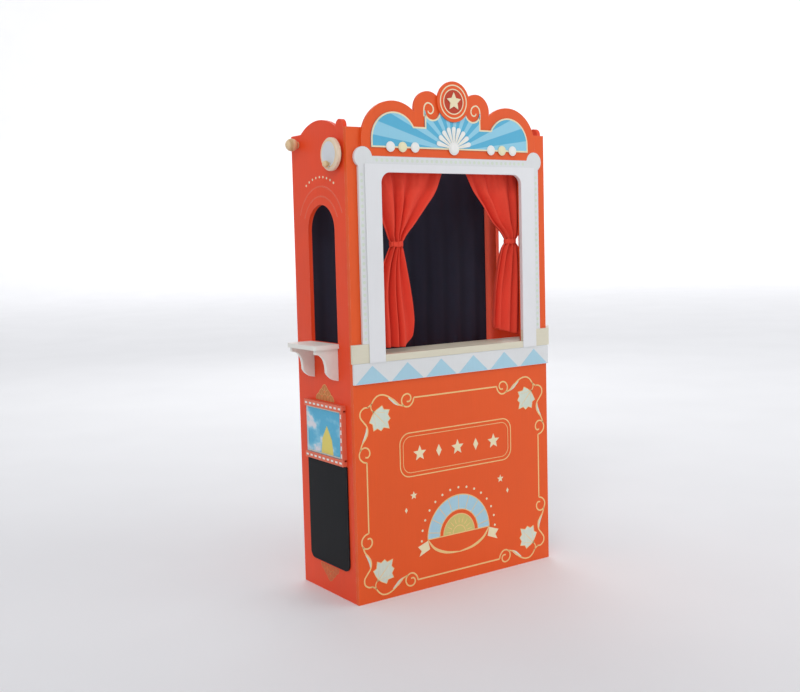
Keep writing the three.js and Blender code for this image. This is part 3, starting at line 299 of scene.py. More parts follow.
def grain_group():
    """Bare turned or sawn wood, with the grain along X, Y or Z."""
    group, w, given, give = new_group("Wood grain", [
        ("Light", 'Color', (0.76, 0.56, 0.33, 1)), ("Dark", 'Color', (0.50, 0.30, 0.14, 1)),
        ("Stretch", 'Vector', (4.0, 60.0, 60.0))])
    drawn = w.node('VectorMath', {0: w.place(), 1: given['Stretch']}, operation='MULTIPLY').outputs[0]
    rings = w.node('TexWave', {'Vector': drawn, 'Scale': 0.6, 'Distortion': 7.0, 'Detail': 3.0},
                   wave_type='BANDS').outputs['Fac']
    fibres = w.noise(drawn, 9.0, 4.0, 0.7)
    dark = w.add(w.times(rings, 0.45), w.times(fibres, 0.55))
    wood = w.mix(w.ramp(dark, 0.35, 0.8), given['Light'], given['Dark'])
    give(wood, w.add(0.42, w.times(fibres, 0.25)), fibres)
    return group


# Materials

def rgba(colour):
    return (*colour, 1.0)


def shaded(name, **constants):
    """A new material, its Principled shader with constant values set on it, and its wiring."""
    material = bpy.data.materials.new(name)
    material.use_nodes = True
    shader = material.node_tree.nodes['Principled BSDF']
    for label, value in constants.items():
        shader.inputs[label.replace('_', ' ')].default_value = value
    return material, shader, Wiring(material.node_tree)


def dressed(name, group, values, relief, **constants):
    """A material whose colour, roughness and relief, as strength and depth, come from a group."""
    material, shader, w = shaded(name, **constants)
    node = w.node('Group', node_tree=group)
    for label, value in values.items():
        w.feed(node.inputs[label], value(w) if callable(value) else value)
    w.join(node.outputs['Colour'], shader.inputs['Base Color'])
    w.join(node.outputs['Roughness'], shader.inputs['Roughness'])
    bump = w.node('Bump', {'Strength': relief[0], 'Distance': relief[1], 'Height': node.outputs['Height']})
    w.join(bump.outputs[0], shader.inputs['Normal'])
    return material


def painted(name, colour, group, worn_and_lit_colour=None, tone=0.08, across=0.0, gloss=0.35, pattern=None):
    """Satin paint brushed on wood; a pattern may stand in for the plain colour."""
    # The paler edge colour: rubbed paint and a painted highlight
    edge_wear_and_highlight_colour = worn_and_lit_colour or [min(1.0, c * 0.55 + 0.42) for c in colour]
    values = {"Colour": pattern or rgba(colour), "Worn and lit edge": rgba(edge_wear_and_highlight_colour), "Tone": tone, "Across": across,
              "Edge wear and highlight": paint().edge_wear_and_highlight}
    return dressed(name, group, values, (0.22, 0.3 * MM), Specular_IOR_Level=gloss)


def sky_rays(w):
    """Rays of two blues that fan out from the foot of the crest, each edge a little soft."""
    drop, soft = 4 * MM, 0.12
    across, _, up = w.parts(w.place())
    turn = w.math('ARCTAN2', w.less(up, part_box("crest_sky_panel")[0].z - drop), across)
    wave = w.math('SINE', w.times(turn, 2.0 * trim().rays))
    return w.mix(w.ramp(wave, -soft, soft), rgba(paint().sky), rgba(paint().pale_sky))


def picture_print(w):
    """White and pale clouds on blue: a generic painted sky."""
    cloud = w.noise(w.stretched(w.place(), (1.0, 16.0, 26.0)), 1.0)
    haze = w.mix(w.ramp(cloud, 0.44, 0.60), rgba(paint().sky), rgba(paint().pale_sky))
    return w.mix(w.ramp(cloud, 0.55, 0.64), haze, rgba((0.78, 0.78, 0.83)))


def turned_wood(name, group, stretch, gloss=0.4, light=(0.78, 0.58, 0.34), dark=(0.52, 0.32, 0.15)):
    values = {"Light": rgba(light), "Dark": rgba(dark), "Stretch": stretch}
    return dressed(name, group, values, (0.2, 0.3 * MM), Specular_IOR_Level=gloss, Coat_Weight=0.25,
                   Coat_Roughness=0.3)


def woven(name, group, colour, deep, sheen, threads, fade):
    # deep is the colour of the painted shade in the fold valleys and thread gaps
    values = {"Colour": rgba(colour), "Shade": rgba(deep), "Threads": threads, "Fade": fade}
    tint = rgba([min(1.0, c + 0.15) for c in colour])
    return dressed(name, group, values, (0.25, 0.2 * MM), Sheen_Weight=sheen, Sheen_Roughness=0.5,
                   Sheen_Tint=tint, Specular_IOR_Level=0.2)


# Each paint: its colour or the setting that holds it, its paler edge colour for rubbed paint and a painted
# highlight, how far its tone changes, and what else it needs
PAINTS = {
    "front red": ("front_red", (0.93, 0.50, 0.36), 0.08),
    "side red": ("side_red", (0.93, 0.50, 0.40), 0.14),
    "rail red": ((0.82, 0.17, 0.09), None, 0.1, {"across": 1.0}),
    "header red": ((0.86, 0.080, 0.018), None, 0.12, {"across": 1.0}),
    "arc red": ((0.84, 0.125, 0.055), None, 0.1),
    "deep red": ((0.55, 0.045, 0.012), None, 0.08),
    "dull gold": ((0.62, 0.20, 0.045), (0.85, 0.5, 0.3), 0.14),
    "dim gold": ((0.80, 0.42, 0.13), None, 0.14),
    "faint gold": ((0.66, 0.12, 0.030), None, 0.14),
    "white": ("white", (0.95, 0.95, 0.95), 0.05),
    "bright white": ((0.83, 0.84, 0.85), (0.97, 0.97, 0.97), 0.04),
    "cream": ("cream", (0.9, 0.87, 0.80), 0.06, {"across": 1.0}),
    "counter cream": ((0.86, 0.85, 0.79), (0.94, 0.93, 0.90), 0.06),
    "sky": ("sky", None, 0.05, {"pattern": sky_rays}),
    "picture": ("sky", None, 0.05, {"pattern": picture_print}),
    "band blue": ("band_blue", None, 0.07),
    "gold": ("gold", (0.95, 0.85, 0.6), 0.1),
    "pale gold": ("pale_gold", (0.95, 0.9, 0.75), 0.08),
    "leaf": ("leaf", None, 0.14),
    "soft yellow": ((0.66, 0.58, 0.19), None, 0.12),
    "yellow": ("yellow", None, 0.1),
    "wheel rim": ((0.86, 0.70, 0.52), (0.9, 0.85, 0.75), 0.06),
    "wheel face": ((0.72, 0.75, 0.78), None, 0.05, {"gloss": 0.5}),
    "bulb": ((0.90, 0.90, 0.86), None, 0.03, {"gloss": 0.6}),
    "warm bulb": ((0.88, 0.82, 0.52), None, 0.03, {"gloss": 0.6}),
    "chalkboard": ("chalk", (0.12, 0.12, 0.13), 0.5, {"gloss": 0.1}),
}
MATERIALS = {}


def mix_materials():
    """Every paint, cloth and wood that the pieces use, made once."""
    c, m = cloth(), MATERIALS
    coat, weave, grain = brushed_paint_group(), weave_group(), grain_group()
    for finish, (colour, worn_and_lit_colour, tone, *more) in PAINTS.items():
        colour = getattr(paint(), colour) if isinstance(colour, str) else colour
        m[finish] = painted(f"{finish.capitalize()} paint", colour, coat, worn_and_lit_colour, tone, **dict(*more))
    m["rod"] = turned_wood("Beech along the rods", grain, (4.0, 60.0, 60.0))
    m["wood"] = turned_wood("Beech upright", grain, (60.0, 60.0, 4.0))
    m["knob"] = turned_wood("Waxed knob", grain, (30.0, 30.0, 5.0), 0.5, (0.82, 0.60, 0.34),
                            (0.60, 0.38, 0.17))
    # Each cloth's second colour is painted shade for its fold valleys and thread gaps
    m["red cloth"] = woven("Red curtain cloth", weave, c.red, c.cloth_shade_red, 0.25, 1400.0, 0.12)
    m["black cloth"] = woven("Black back cloth", weave, c.black, (0.003, 0.003, 0.006), 0.05, 1100.0, 0.3)


# Which finish each flat and each round piece has
FLAT_PIECES = {
    "front red": "front_lower_board front_stage_frame crest_board crest_medallion",
    "side red": "side_panel_left side_panel_right rear_lower_rail",
    "rail red": "picture_rail_lower picture_rail_upper picture_stop",
    "header red": "rear_header",
    "white": "triangle_band stage_trim",
    "bright white": "stage_trim_strip",
    "cream": "plinth_left plinth_right stage_floor",
    "counter cream": "counter_left counter_right counter_bracket_left_front counter_bracket_left_rear "
                     "counter_bracket_right_front counter_bracket_right_rear",
    "chalkboard": "chalkboard_left chalkboard_right",
    "sky": "crest_sky_panel",
    "picture": "picture_board",
    "pale gold": "crest_star",
    "bulb": "crest_fan",
    "wood": "floor_cleat_left floor_cleat_right corner_batten_left corner_batten_right",
}
ROUND_PIECES = {
    "rod": "back_rod curtain_rod winding_dowel",
    "wood": "rod_socket_left rod_socket_right wheel_bush dowel_bush bobbin_left bobbin_right",
    "knob": "rod_knob_left rod_knob_right wheel_handle",
    "wheel rim": "draw_wheel",
    "bulb": "crest_bulb_1 crest_bulb_3 crest_bulb_4 crest_bulb_5 crest_bulb_7",
    "warm bulb": "crest_bulb_2 crest_bulb_6",
}
FLAT_CREASE, ROUND_CREASE = 24, 32  # degrees: edges sharper than this stay sharp
BEVEL_FROM = 38                     # degrees: edges sharper than this are rounded
BEVEL_SHARE = 0.22                  # the most that the rounding takes of a piece's thinnest side


def smooth(mesh):
    mesh.polygons.foreach_set('use_smooth', [True] * len(mesh.polygons))


def smooth_by_angle(mesh, degrees):
    """Smooth faces with the edges sharper than that kept sharp."""
    smooth(mesh)
    bm = bmesh.new()
    bm.from_mesh(mesh)
    limit = math.radians(degrees)
    sharp = [e.calc_face_angle(math.pi) > limit for e in bm.edges]
    bm.free()
    attribute = mesh.attributes.get('sharp_edge') or mesh.attributes.new('sharp_edge', 'BOOLEAN', 'EDGE')
    attribute.data.foreach_set('value', sharp)


def new_piece(name, bm, material):
    mesh = bpy.data.meshes.new(name)
    bm.to_mesh(mesh)
    bm.free()
    obj = bpy.data.objects.new(name, mesh)
    bpy.context.scene.collection.objects.link(obj)
    mesh.materials.append(material)
    return obj


# Painting on the boards, where every length is in millimetres

def on_front(y):
    """A face towards the audience: across is x, up is z."""
    return lambda across, up, out: (across * MM, (y - out) * MM, up * MM)


def on_side(x, sign):
    """A side face: across is y, up is z."""
    return lambda across, up, out: ((x + sign * out) * MM, across * MM, up * MM)


class Brush:
    """Paints strokes and filled shapes as a thin relief on one face."""
    tiny = 1e-6       # points nearer than this are one point
    bank = 0.6        # how far a stroke's sides lean in, as a share of its height
    mitre = 1.6       # the most that a stroke widens at a bend

    def __init__(self, face, lift=None):
        self.bm = bmesh.new()
        self.face = face
        self.base = 0.0
        self.lift = trim().paint / MM if lift is None else lift
        origin, across, up, out = (Vector(face(*p)) for p in ((0, 0, 0), (1, 0, 0), (0, 1, 0), (0, 0, 1)))
        self.backwards = (across - origin).cross(up - origin).dot(out - origin) < 0

    def at(self, point, out):
        return self.bm.verts.new(self.face(point[0], point[1], out))

    def close(self, *corners):
        """A face whose corners run anticlockwise as the painter sees them."""
        self.bm.faces.new(tuple(reversed(corners)) if self.backwards else corners)

    def stroke(self, points, widths, closed=False):
        """A ribbon along points; widths is one width or a width at each point."""
        points = [Vector(p) for p in points]
        count = len(points)
        if not hasattr(widths, '__len__'):
            widths = [widths] * count
        rows = []
        for i, point in enumerate(points):
            before = points[i - 1] if i or closed else point
            after = points[(i + 1) % count] if i < count - 1 or closed else point
            one, two = (point - before), (after - point)
            one = one.normalized() if one.length > self.tiny else two.normalized()
            two = two.normalized() if two.length > self.tiny else one
            along = (one + two).normalized()
            normal = Vector((-along.y, along.x))
            half = widths[i] / 2 * min(self.mitre, 1.0 / max(0.3, normal.dot(Vector((-two.y, two.x)))))
            top = max(half - (self.lift - self.base) * self.bank, half * 0.5)
            rows.append([self.at(point - normal * half, self.base), self.at(point - normal * top, self.lift),
                         self.at(point + normal * top, self.lift), self.at(point + normal * half, self.base)])
        for a, b in zip(rows, rows[1:] + rows[:1] if closed else rows[1:]):
            for k in range(3):
                self.close(a[k], b[k], b[k + 1], a[k + 1])
        if not closed:
            self.close(*rows[0])
            self.close(*reversed(rows[-1]))

    def patch(self, points):
        """A filled shape inside the points."""
        turn = sum(a[0] * b[1] - b[0] * a[1] for a, b in zip(points, points[1:] + points[:1]))
        if turn < 0:
            points = points[::-1]
        foot = [self.at(p, self.base) for p in points]
        top = [self.at(p, self.lift) for p in points]
        self.close(*top)
        for i in range(len(points)):
            j = (i + 1) % len(points)
            self.close(foot[i], foot[j], top[j], top[i])

    def dots(self, centres, width):
        for centre in centres:
            self.patch(ring(centre, width / 2, 12))

    def finish(self, name, finish, slot, body="booth"):
        self.bm.normal_update()
        bmesh.ops.triangulate(self.bm, faces=[f for f in self.bm.faces if len(f.verts) > 4])
        obj = new_piece(name, self.bm, MATERIALS[finish])
        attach(obj, body)


def arc(centre, radius, start, end, steps=24):
    """Points on an arc, in degrees anticlockwise from the right."""
    turns = [math.radians(start + (end - start) * i / steps) for i in range(steps + 1)]
    return [(centre[0] + radius * math.cos(turn), centre[1] + radius * math.sin(turn)) for turn in turns]


def ring(centre, radius, steps):
    return arc(centre, radius, 0, 360, steps)[:-1]


def spoke(centre, turn, *radii):
    """Points in one direction from the centre, one at each radius."""
    return [arc(centre, radius, turn, turn, 1)[0] for radius in radii]


def star(centre, radius):
    """A star of five points that stands upright."""
    outer, inner = (arc(centre, r, 90, 450, 10)[:-1] for r in (radius, radius * 0.45))
    return [inner[i] if i % 2 else outer[i] for i in range(10)]


def diamond(centre, half_wide, half_high):
    x, z = centre
    return [(x + half_wide, z), (x, z + half_high), (x - half_wide, z), (x, z - half_high)]


def rectangle(centre, half_wide, half_high):
    return [(centre[0] + a * half_wide, centre[1] + b * half_high)
            for a, b in ((-1, -1), (1, -1), (1, 1), (-1, 1))]


def curve_through(points, steps=8):
    """A smooth line through the points."""
    points = [Vector(p) for p in points]
    line = []
    for i in range(len(points) - 1):
        p0, p1, p2 = points[max(i - 1, 0)], points[i], points[i + 1]
        p3 = points[min(i + 2, len(points) - 1)]
        for k in range(steps):
            t = k / steps
            line.append(0.5 * (2 * p1 + (p2 - p0) * t + (2 * p0 - 5 * p1 + 4 * p2 - p3) * t * t
                               + (3 * p1 - p0 - 3 * p2 + p3) * t ** 3))
    line.append(points[-1])
    return line


def swelling(count, thin, thick):
    return [thin + (thick - thin) * math.sin(math.pi * i / (count - 1)) for i in range(count)]


def turned(points, centre, size, turn):
    """A shape of unit size, enlarged, turned anticlockwise by degrees and moved to its place."""
    c, s = math.cos(math.radians(turn)) * size, math.sin(math.radians(turn)) * size
    return [(centre[0] + x * c - z * s, centre[1] + x * s + z * c) for x, z in points]


def mirrored(points, sign, level=None):
    """Points with x times sign, and mirrored up and down about a level if it is given."""
    return [(sign * x, z if level is None else 2 * level - z) for x, z in points]


# The scroll on the crest's right half, from the step to the end of its roll
SCROLL = [(74, 988), (74, 998), (73, 1007), (69.5, 1013), (63.5, 1016), (57, 1014.5), (51.5, 1010),
          (49.5, 1003.5), (51.5, 997.5), (56.5, 994.5), (61.5, 996), (63.5, 1000)]
SCROLL_END = 14  # points over which it thins

# The lower front's border: the level that it mirrors about, its straight lines' places and ends, and the
# lines and blades of its upper right corner. Each line has its share of the border line's width.
BORDER_LEVEL = 217.5
BORDER_SIDE, BORDER_SIDE_END, BORDER_TOP, BORDER_TOP_END = 232, 290, 411, 112
CORNER_LINES = [
    ([(112, 411), (115, 402), (123, 394.5), (133, 394), (141, 400), (143, 409), (138, 417.5), (129, 420.5),
      (121.5, 417), (119.5, 410), (123.5, 404.5), (130, 404.5)], 1.0),
    ([(138, 396.5), (150, 400), (161, 409), (173, 418), (187, 424), (200, 424), (210, 418), (218, 408),
      (227, 402)], 1.0),
    ([(232, 290), (241, 293), (248.5, 301), (249, 311), (243, 319.5), (233.5, 321), (226, 315.5),
      (224.5, 307), (229, 301), (235.5, 301.5)], 1.0),
    ([(247, 316), (242, 329), (233, 340), (228, 352), (230, 364), (238, 374), (245, 384), (244, 395),
      (235, 402), (225, 402)], 1.0),
    ([(217, 409.5), (219, 402), (217, 396), (212, 391)], 0.8),
]
CORNER_BLADES = [[(147, 398), (157, 404), (166, 411), (176, 417)],
                 [(242, 331), (234, 342), (230, 352), (230.5, 362)]]

# A broad leaf: one half of it from its stem to its tip, and its veins' ends with their widths. Both are in
# shares of its half height. Then its place, half height and turn on the board.
HALF_LEAF = [(0.0, -0.86), (0.36, -0.78), (0.80, -0.64), (0.70, -0.34), (1.0, 0.06), (0.66, 0.20),
             (0.58, 0.56), (0.26, 0.56), (0.0, 1.0)]
LEAF = HALF_LEAF + mirrored(HALF_LEAF[-2:0:-1], -1)
VEINS = [(0.0, 0.78, 2.0), (0.66, -0.02, 1.3), (-0.66, -0.02, 1.3)]
LEAF_PLACE = ((195, 374), 28, 135)


# Operators

class StudioOperator(bpy.types.Operator):
    """Set up the camera, the floor and the lights"""
    bl_idname = "theatre.studio"
    bl_label = "Studio"

    # Name, kind, place, size and power; a sun's size is the angle that it spans
    lights = [("key_light", 'SUN', (-2.6, -2.4, 2.4), 0.5, 1.74),
              ("fill_light", 'AREA', (2.8, -3.0, 1.8), 2.6, 24),
              ("back_light", 'AREA', (1.6, 3.0, 2.8), 2.6, 26)]
    aim = Vector((0, 0, 0.5))
    # The floor's middle, its number of sides, and the radius and height of each of its rings, in metres
    floor_middle, floor_sides = (2.5, 2.5), 96
    floor_rings = [(4.0, 0.0), (9.6, 0.0), (10.8, 0.12), (11.6, 0.6), (11.9, 1.4), (12.0, 2.6), (12.0, 6.0)]

    def execute(self, context):
        studio = context.scene.theatre_studio
        camera = bpy.data.objects.new("camera", bpy.data.cameras.new("camera"))
        context.scene.collection.objects.link(camera)
        camera.location, camera.rotation_euler = studio.place, studio.turn
        camera.data.lens, camera.data.sensor_width = studio.lens, 36.0
        camera.data.shift_x, camera.data.shift_y = studio.shift
        context.scene.camera = camera
        context.scene.view_settings.view_transform = 'Standard'
        self.floor(studio)
        for light in self.lights:
            self.light(context, *light)
        world = context.scene.world or bpy.data.worlds.new("studio")
        context.scene.world = world
        world.use_nodes = True
        background = world.node_tree.nodes['Background']
        background.inputs['Color'].default_value = rgba(studio.around)
        background.inputs['Strength'].default_value = studio.around_power
        return {'FINISHED'}

    def floor(self, studio):
        """A pale round floor that sweeps up into a wall, so that no horizon shows."""
        bm = bmesh.new()
        hub = bm.verts.new((*self.floor_middle, 0.0))
        rings = [[bm.verts.new((*point, z)) for point in ring(self.floor_middle, radius, self.floor_sides)]
                 for radius, z in self.floor_rings]
        for k in range(self.floor_sides):
            j = (k + 1) % self.floor_sides
            bm.faces.new((hub, rings[0][k], rings[0][j]))
            for a, b in zip(rings, rings[1:]):
                bm.faces.new((a[k], b[k], b[j], a[j]))
        paper, shader, w = shaded("Studio paper", Specular_IOR_Level=0.1, Roughness=0.85)
        tone = w.add(0.97, w.times(w.noise(w.place(), 2.0, 2.0), 0.06))
        w.join(w.toned(rgba(studio.floor), tone), shader.inputs['Base Color'])
        floor = new_piece("floor", bm, paper)
        smooth(floor.data)

    def light(self, context, name, kind, place, size, power):
        data = bpy.data.lights.new(name, kind)
        data.energy = power
        if kind == 'SUN':
            data.angle = size
        else:
            data.shape, data.size = 'DISK', size
        lamp = bpy.data.objects.new(name, data)
        context.scene.collection.objects.link(lamp)
        lamp.location = place
        lamp.rotation_euler = (self.aim - Vector(place)).to_track_quat('-Z', 'Y').to_euler()


class BoardsOperator(bpy.types.Operator):
    """Paint the boards, rods and fittings, and round their edges a little"""
    bl_idname = "theatre.boards"
    bl_label = "Boards and fittings"

    def execute(self, context):
        mix_materials()
        for pieces, crease in ((FLAT_PIECES, FLAT_CREASE), (ROUND_PIECES, ROUND_CREASE)):
            for finish, names in pieces.items():
                for name in names.split():
                    self.dress(name, MATERIALS[finish], crease)
        return {'FINISHED'}

    def dress(self, name, material, crease):
        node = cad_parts[name]
        node.data.materials.clear()
        node.data.materials.append(material)
        smooth_by_angle(node.data, crease)
        low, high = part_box(name)
        bevel = node.modifiers.new("Edge", 'BEVEL')
        bevel.width = min(trim().edge, min(high - low) * BEVEL_SHARE)
        bevel.segments = 2
        bevel.limit_method = 'ANGLE'
        bevel.angle_limit = math.radians(BEVEL_FROM)
        bevel.harden_normals = True


class CrestOperator(bpy.types.Operator):
    """Paint the outline, the scrolls, the rings and the fan of the crest"""
    bl_idname = "theatre.crest"
    bl_label = "Painted crest"

    def execute(self, context):
        self.outline(box_mm("crest_sky_panel")[0])
        self.scrolls(box_mm("crest_board")[0].y)
        medallion = middle("crest_medallion") / MM
        self.rings(box_mm("crest_medallion")[0].y, (medallion.x, medallion.z))
        bulb = middle("crest_bulb_4") / MM
        self.fan(box_mm("crest_fan")[0].y, (bulb.x, bulb.z))
        return {'FINISHED'}

    def outline(self, low):
        """Cream line just inside the sky panel's edge, up the step and along the foot of the rolled end."""
        line = 3.2
        arch_x, arch_z, arch_radius = 150, low.z + 16, 56 - line / 2
        step_x, step_z, step_top = 73 - line / 2, low.z + 44 - line / 2, low.z + 70
        roll_x, roll_z, roll_radius, roll_start, roll_end = 53, low.z + 79, 19 + line / 2, -26, -156
        foot = low.z + line / 2
        lean = math.degrees(math.asin((step_z - arch_z) / arch_radius))
        points = [(0.0, foot), (arch_x + arch_radius, foot)]
        points += arc((arch_x, arch_z), arch_radius, 0, 180 - lean, 40)
        points += [(step_x, step_z), (step_x, step_top)]
        roll = arc((roll_x, roll_z), roll_radius, roll_start, roll_end)
        brush = Brush(on_front(low.y))
        for sign in (-1, 1):
            brush.stroke(mirrored(points, sign), line)
            brush.stroke(mirrored(roll, sign), line)
        brush.finish("crest_sky_outline", "pale gold", "gold_paint")

    def scrolls(self, y):
        """Cream lines that rise from the steps and roll in beside the medallion."""
        line, thinning = 3.0, 0.06
        brush = Brush(on_front(y))
        for sign in (-1, 1):
            points = curve_through(mirrored(SCROLL, sign), 6)
            end = [line - thinning * i for i in range(SCROLL_END)]
            brush.stroke(points, [line] * (len(points) - SCROLL_END) + end)
        brush.finish("crest_scroll_lines", "pale gold", "gold_paint")

    def rings(self, y, centre):
        """Two rings on the medallion and the red ground behind its star."""
        brush = Brush(on_front(y))
        for radius, width in ((34.0, 2.6), (25.5, 2.2)):
            brush.stroke(ring(centre, radius, 64), width, closed=True)
        brush.finish("medallion_rings", "pale gold", "gold_paint")
        ground_radius, ground_lift = 24.2, 0.15
        ground = Brush(on_front(y), ground_lift)
        ground.patch(ring(centre, ground_radius, 64))
        ground.finish("medallion_ground", "deep red", "red_paint")

    def fan(self, y, hub):
        """A line along each petal of the fan."""
        petals, first, step = 9, 14, 19
        root, tip, lift = 14, 37, 0.2
        brush = Brush(on_front(y), lift)
        for i in range(petals):
            brush.stroke(spoke(hub, first + i * step, root, (root + tip) / 2, tip), [0.6, 1.0, 0.4])
        brush.finish("fan_lines", "pale gold", "gold_paint")


class FrameOrnamentOperator(bpy.types.Operator):
    """Paint the dots on the white frame and the triangles under the stage"""
    bl_idname = "theatre.frame_ornament"
    bl_label = "Frame dots and triangles"

    # Outer edge of the columns, and where the dots begin over the frame's foot and end
    column_edge, foot_rise, top = 237, 10, 868
    # Half the row of dots on the beam, and the beam's upper edge
    beam_half, beam_edge = 193, 904.7
    spacing = 1.75                  # between dots, in dots
    triangles, triangle_half, triangle_foot, triangle_top = 6, 0.46, 0.6, 36

    def execute(self, context):
        low = box_mm("stage_trim")[0]
        strip = box_mm("stage_trim_strip")[1]
        brush = Brush(on_front(low.y))
        x, z = (strip.x + self.column_edge) / 2, (strip.z + self.beam_edge) / 2
        for sign in (-1, 1):
            self.row(brush, (sign * x, low.z + self.foot_rise), (sign * x, self.top))
        self.row(brush, (-self.beam_half, z), (self.beam_half, z))
        brush.finish("frame_dots", "leaf", "cream_paint")

        low, high = box_mm("triangle_band")
        brush = Brush(on_front(low.y))
        pitch = (high.x - low.x) / self.triangles
        foot, half = low.z + self.triangle_foot, pitch * self.triangle_half
        for i in range(self.triangles):
            x = low.x + pitch * (i + 0.5)
            brush.patch([(x - half, foot), (x + half, foot), (x, low.z + self.triangle_top)])
        brush.finish("band_triangles", "band blue", "sky_paint")
        return {'FINISHED'}

    def row(self, brush, start, end):
        dot = trim().dot / MM
        count = int(math.dist(start, end) / (self.spacing * dot))
        brush.dots([(start[0] + (end[0] - start[0]) * i / count, start[1] + (end[1] - start[1]) * i / count)
                    for i in range(count + 1)], dot)


class LowerOrnamentOperator(bpy.types.Operator):
    """Paint the border, its corner scrolls and the middle of the lower front board"""
    bl_idname = "theatre.lower_ornament"
    bl_label = "Lower front ornament"

    # The half rosette: its centre, and the radii of its rim, its hub, the sun in it and the sun's heart
    centre, rim, hub, core, seed = (0.0, 104), 84, 52, 42, 17

    def execute(self, context):
        face, under = on_front(box_mm("front_lower_board")[0].y), trim().under / MM
        self.border(Brush(face), Brush(face, under))
        self.plaque(Brush(face), Brush(face))
        self.rosette(Brush(face, under), Brush(face, under))
        return {'FINISHED'}

    def border(self, gold, leaf):
        """A line with a rolled scroll and leaves at each corner."""
        line = trim().line / MM
        for sign in (-1, 1):
            for level in (None, BORDER_LEVEL):
                for points, share in CORNER_LINES:
                    gold.stroke(curve_through(mirrored(points, sign, level)), line * share)
                for points in CORNER_BLADES:
                    blade = curve_through(mirrored(points, sign, level))
                    leaf.stroke(blade, swelling(len(blade), 0.8, 7.5))
                shape = mirrored(turned(LEAF, *LEAF_PLACE), sign, level)
                leaf.patch(shape)
                gold.stroke(shape, 1.5, closed=True)
                for x, z, width in VEINS:
                    vein = turned([(0.0, -1.0), (x / 2, (z - 0.9) / 2), (x, z)], *LEAF_PLACE)
                    gold.stroke(mirrored(vein, sign, level), [width, width * 0.8, 0.4])
            side = [(BORDER_SIDE, BORDER_SIDE_END), (BORDER_SIDE, 2 * BORDER_LEVEL - BORDER_SIDE_END)]
            gold.stroke(mirrored(side, sign), line)
        for level in (None, BORDER_LEVEL):
            top = [(-BORDER_TOP_END, BORDER_TOP), (BORDER_TOP_END, BORDER_TOP)]
            gold.stroke(mirrored(top, 1, level), line)
        gold.finish("border_lines", "gold", "gold_paint")
        leaf.finish("border_leaves", "leaf", "cream_paint")

    def plaque(self, gold, pale):
        """A generic marquee plaque, and the rosette's lines, dots and ribbon: plain shapes only."""
        half, top, foot, corner = 150, 338, 246, 24
        for inset, width in ((0, 2.2), (8, 1.3)):
            bend = corner - inset * 0.6
            x, low, high = half - inset - bend, foot + inset + bend, top - inset - bend
            points = []
            for cx, cz, start in ((x, high, 0), (-x, high, 90), (-x, low, 180), (x, low, 270)):
                points += arc((cx, cz), bend, start, start + 90, 12)
            gold.stroke(points, width, closed=True)
        for i, x in enumerate(range(-100, 101, 50)):
            place = (x, (top + foot) / 2)
            pale.patch(diamond(place, 7, 13) if i % 2 else star(place, 17))
        centre, rim, hub, core = self.centre, self.rim, self.hub, self.core
        pale.dots(arc(centre, rim + 16, 0, 180, 14), 5.2)
        for turn in range(10, 180, 20):
            gold.stroke(spoke(centre, turn, hub, rim), 1.6)
            gold.stroke(spoke(centre, turn, self.seed + 6, core - 6), [2.6, 0.8])
        for radius, width, steps in ((core, 2.2, 48), (hub, 2.2, 48), (rim, 2.2, 48), (self.seed, 2.0, 24)):
            gold.stroke(arc(centre, radius, 0, 180, steps), width)
        gold.stroke([(-rim, centre[1]), (rim, centre[1])], 2.4)
        for sign in (-1, 1):
            ribbon = curve_through(mirrored([(rim, centre[1]), (66, 82), (36, 68), (0.0, 63)], sign))
            gold.stroke(ribbon, swelling(len(ribbon), 1.8, 6))
            pale.patch(mirrored([(rim, 102), (110, 93), (101, 83), (107, 72), (79, 83)], sign))
            pale.patch(star((sign * 118, 205), 9))
            pale.patch(diamond((sign * 138, 176), 3.4, 6))
        gold.finish("plaque_lines", "gold", "gold_paint")
        pale.finish("plaque_motifs", "pale gold", "gold_paint")

    def rosette(self, blue, sun):
        """The filled shapes of the rosette."""
        blue.patch(arc(self.centre, self.rim, 0, 180, 40) + arc(self.centre, self.hub, 180, 0, 28))
        sun.patch(arc(self.centre, self.core, 0, 180, 40))
        blue.finish("plaque_blue", "band blue", "sky_paint")
        sun.finish("plaque_sun", "soft yellow", "gold_paint")


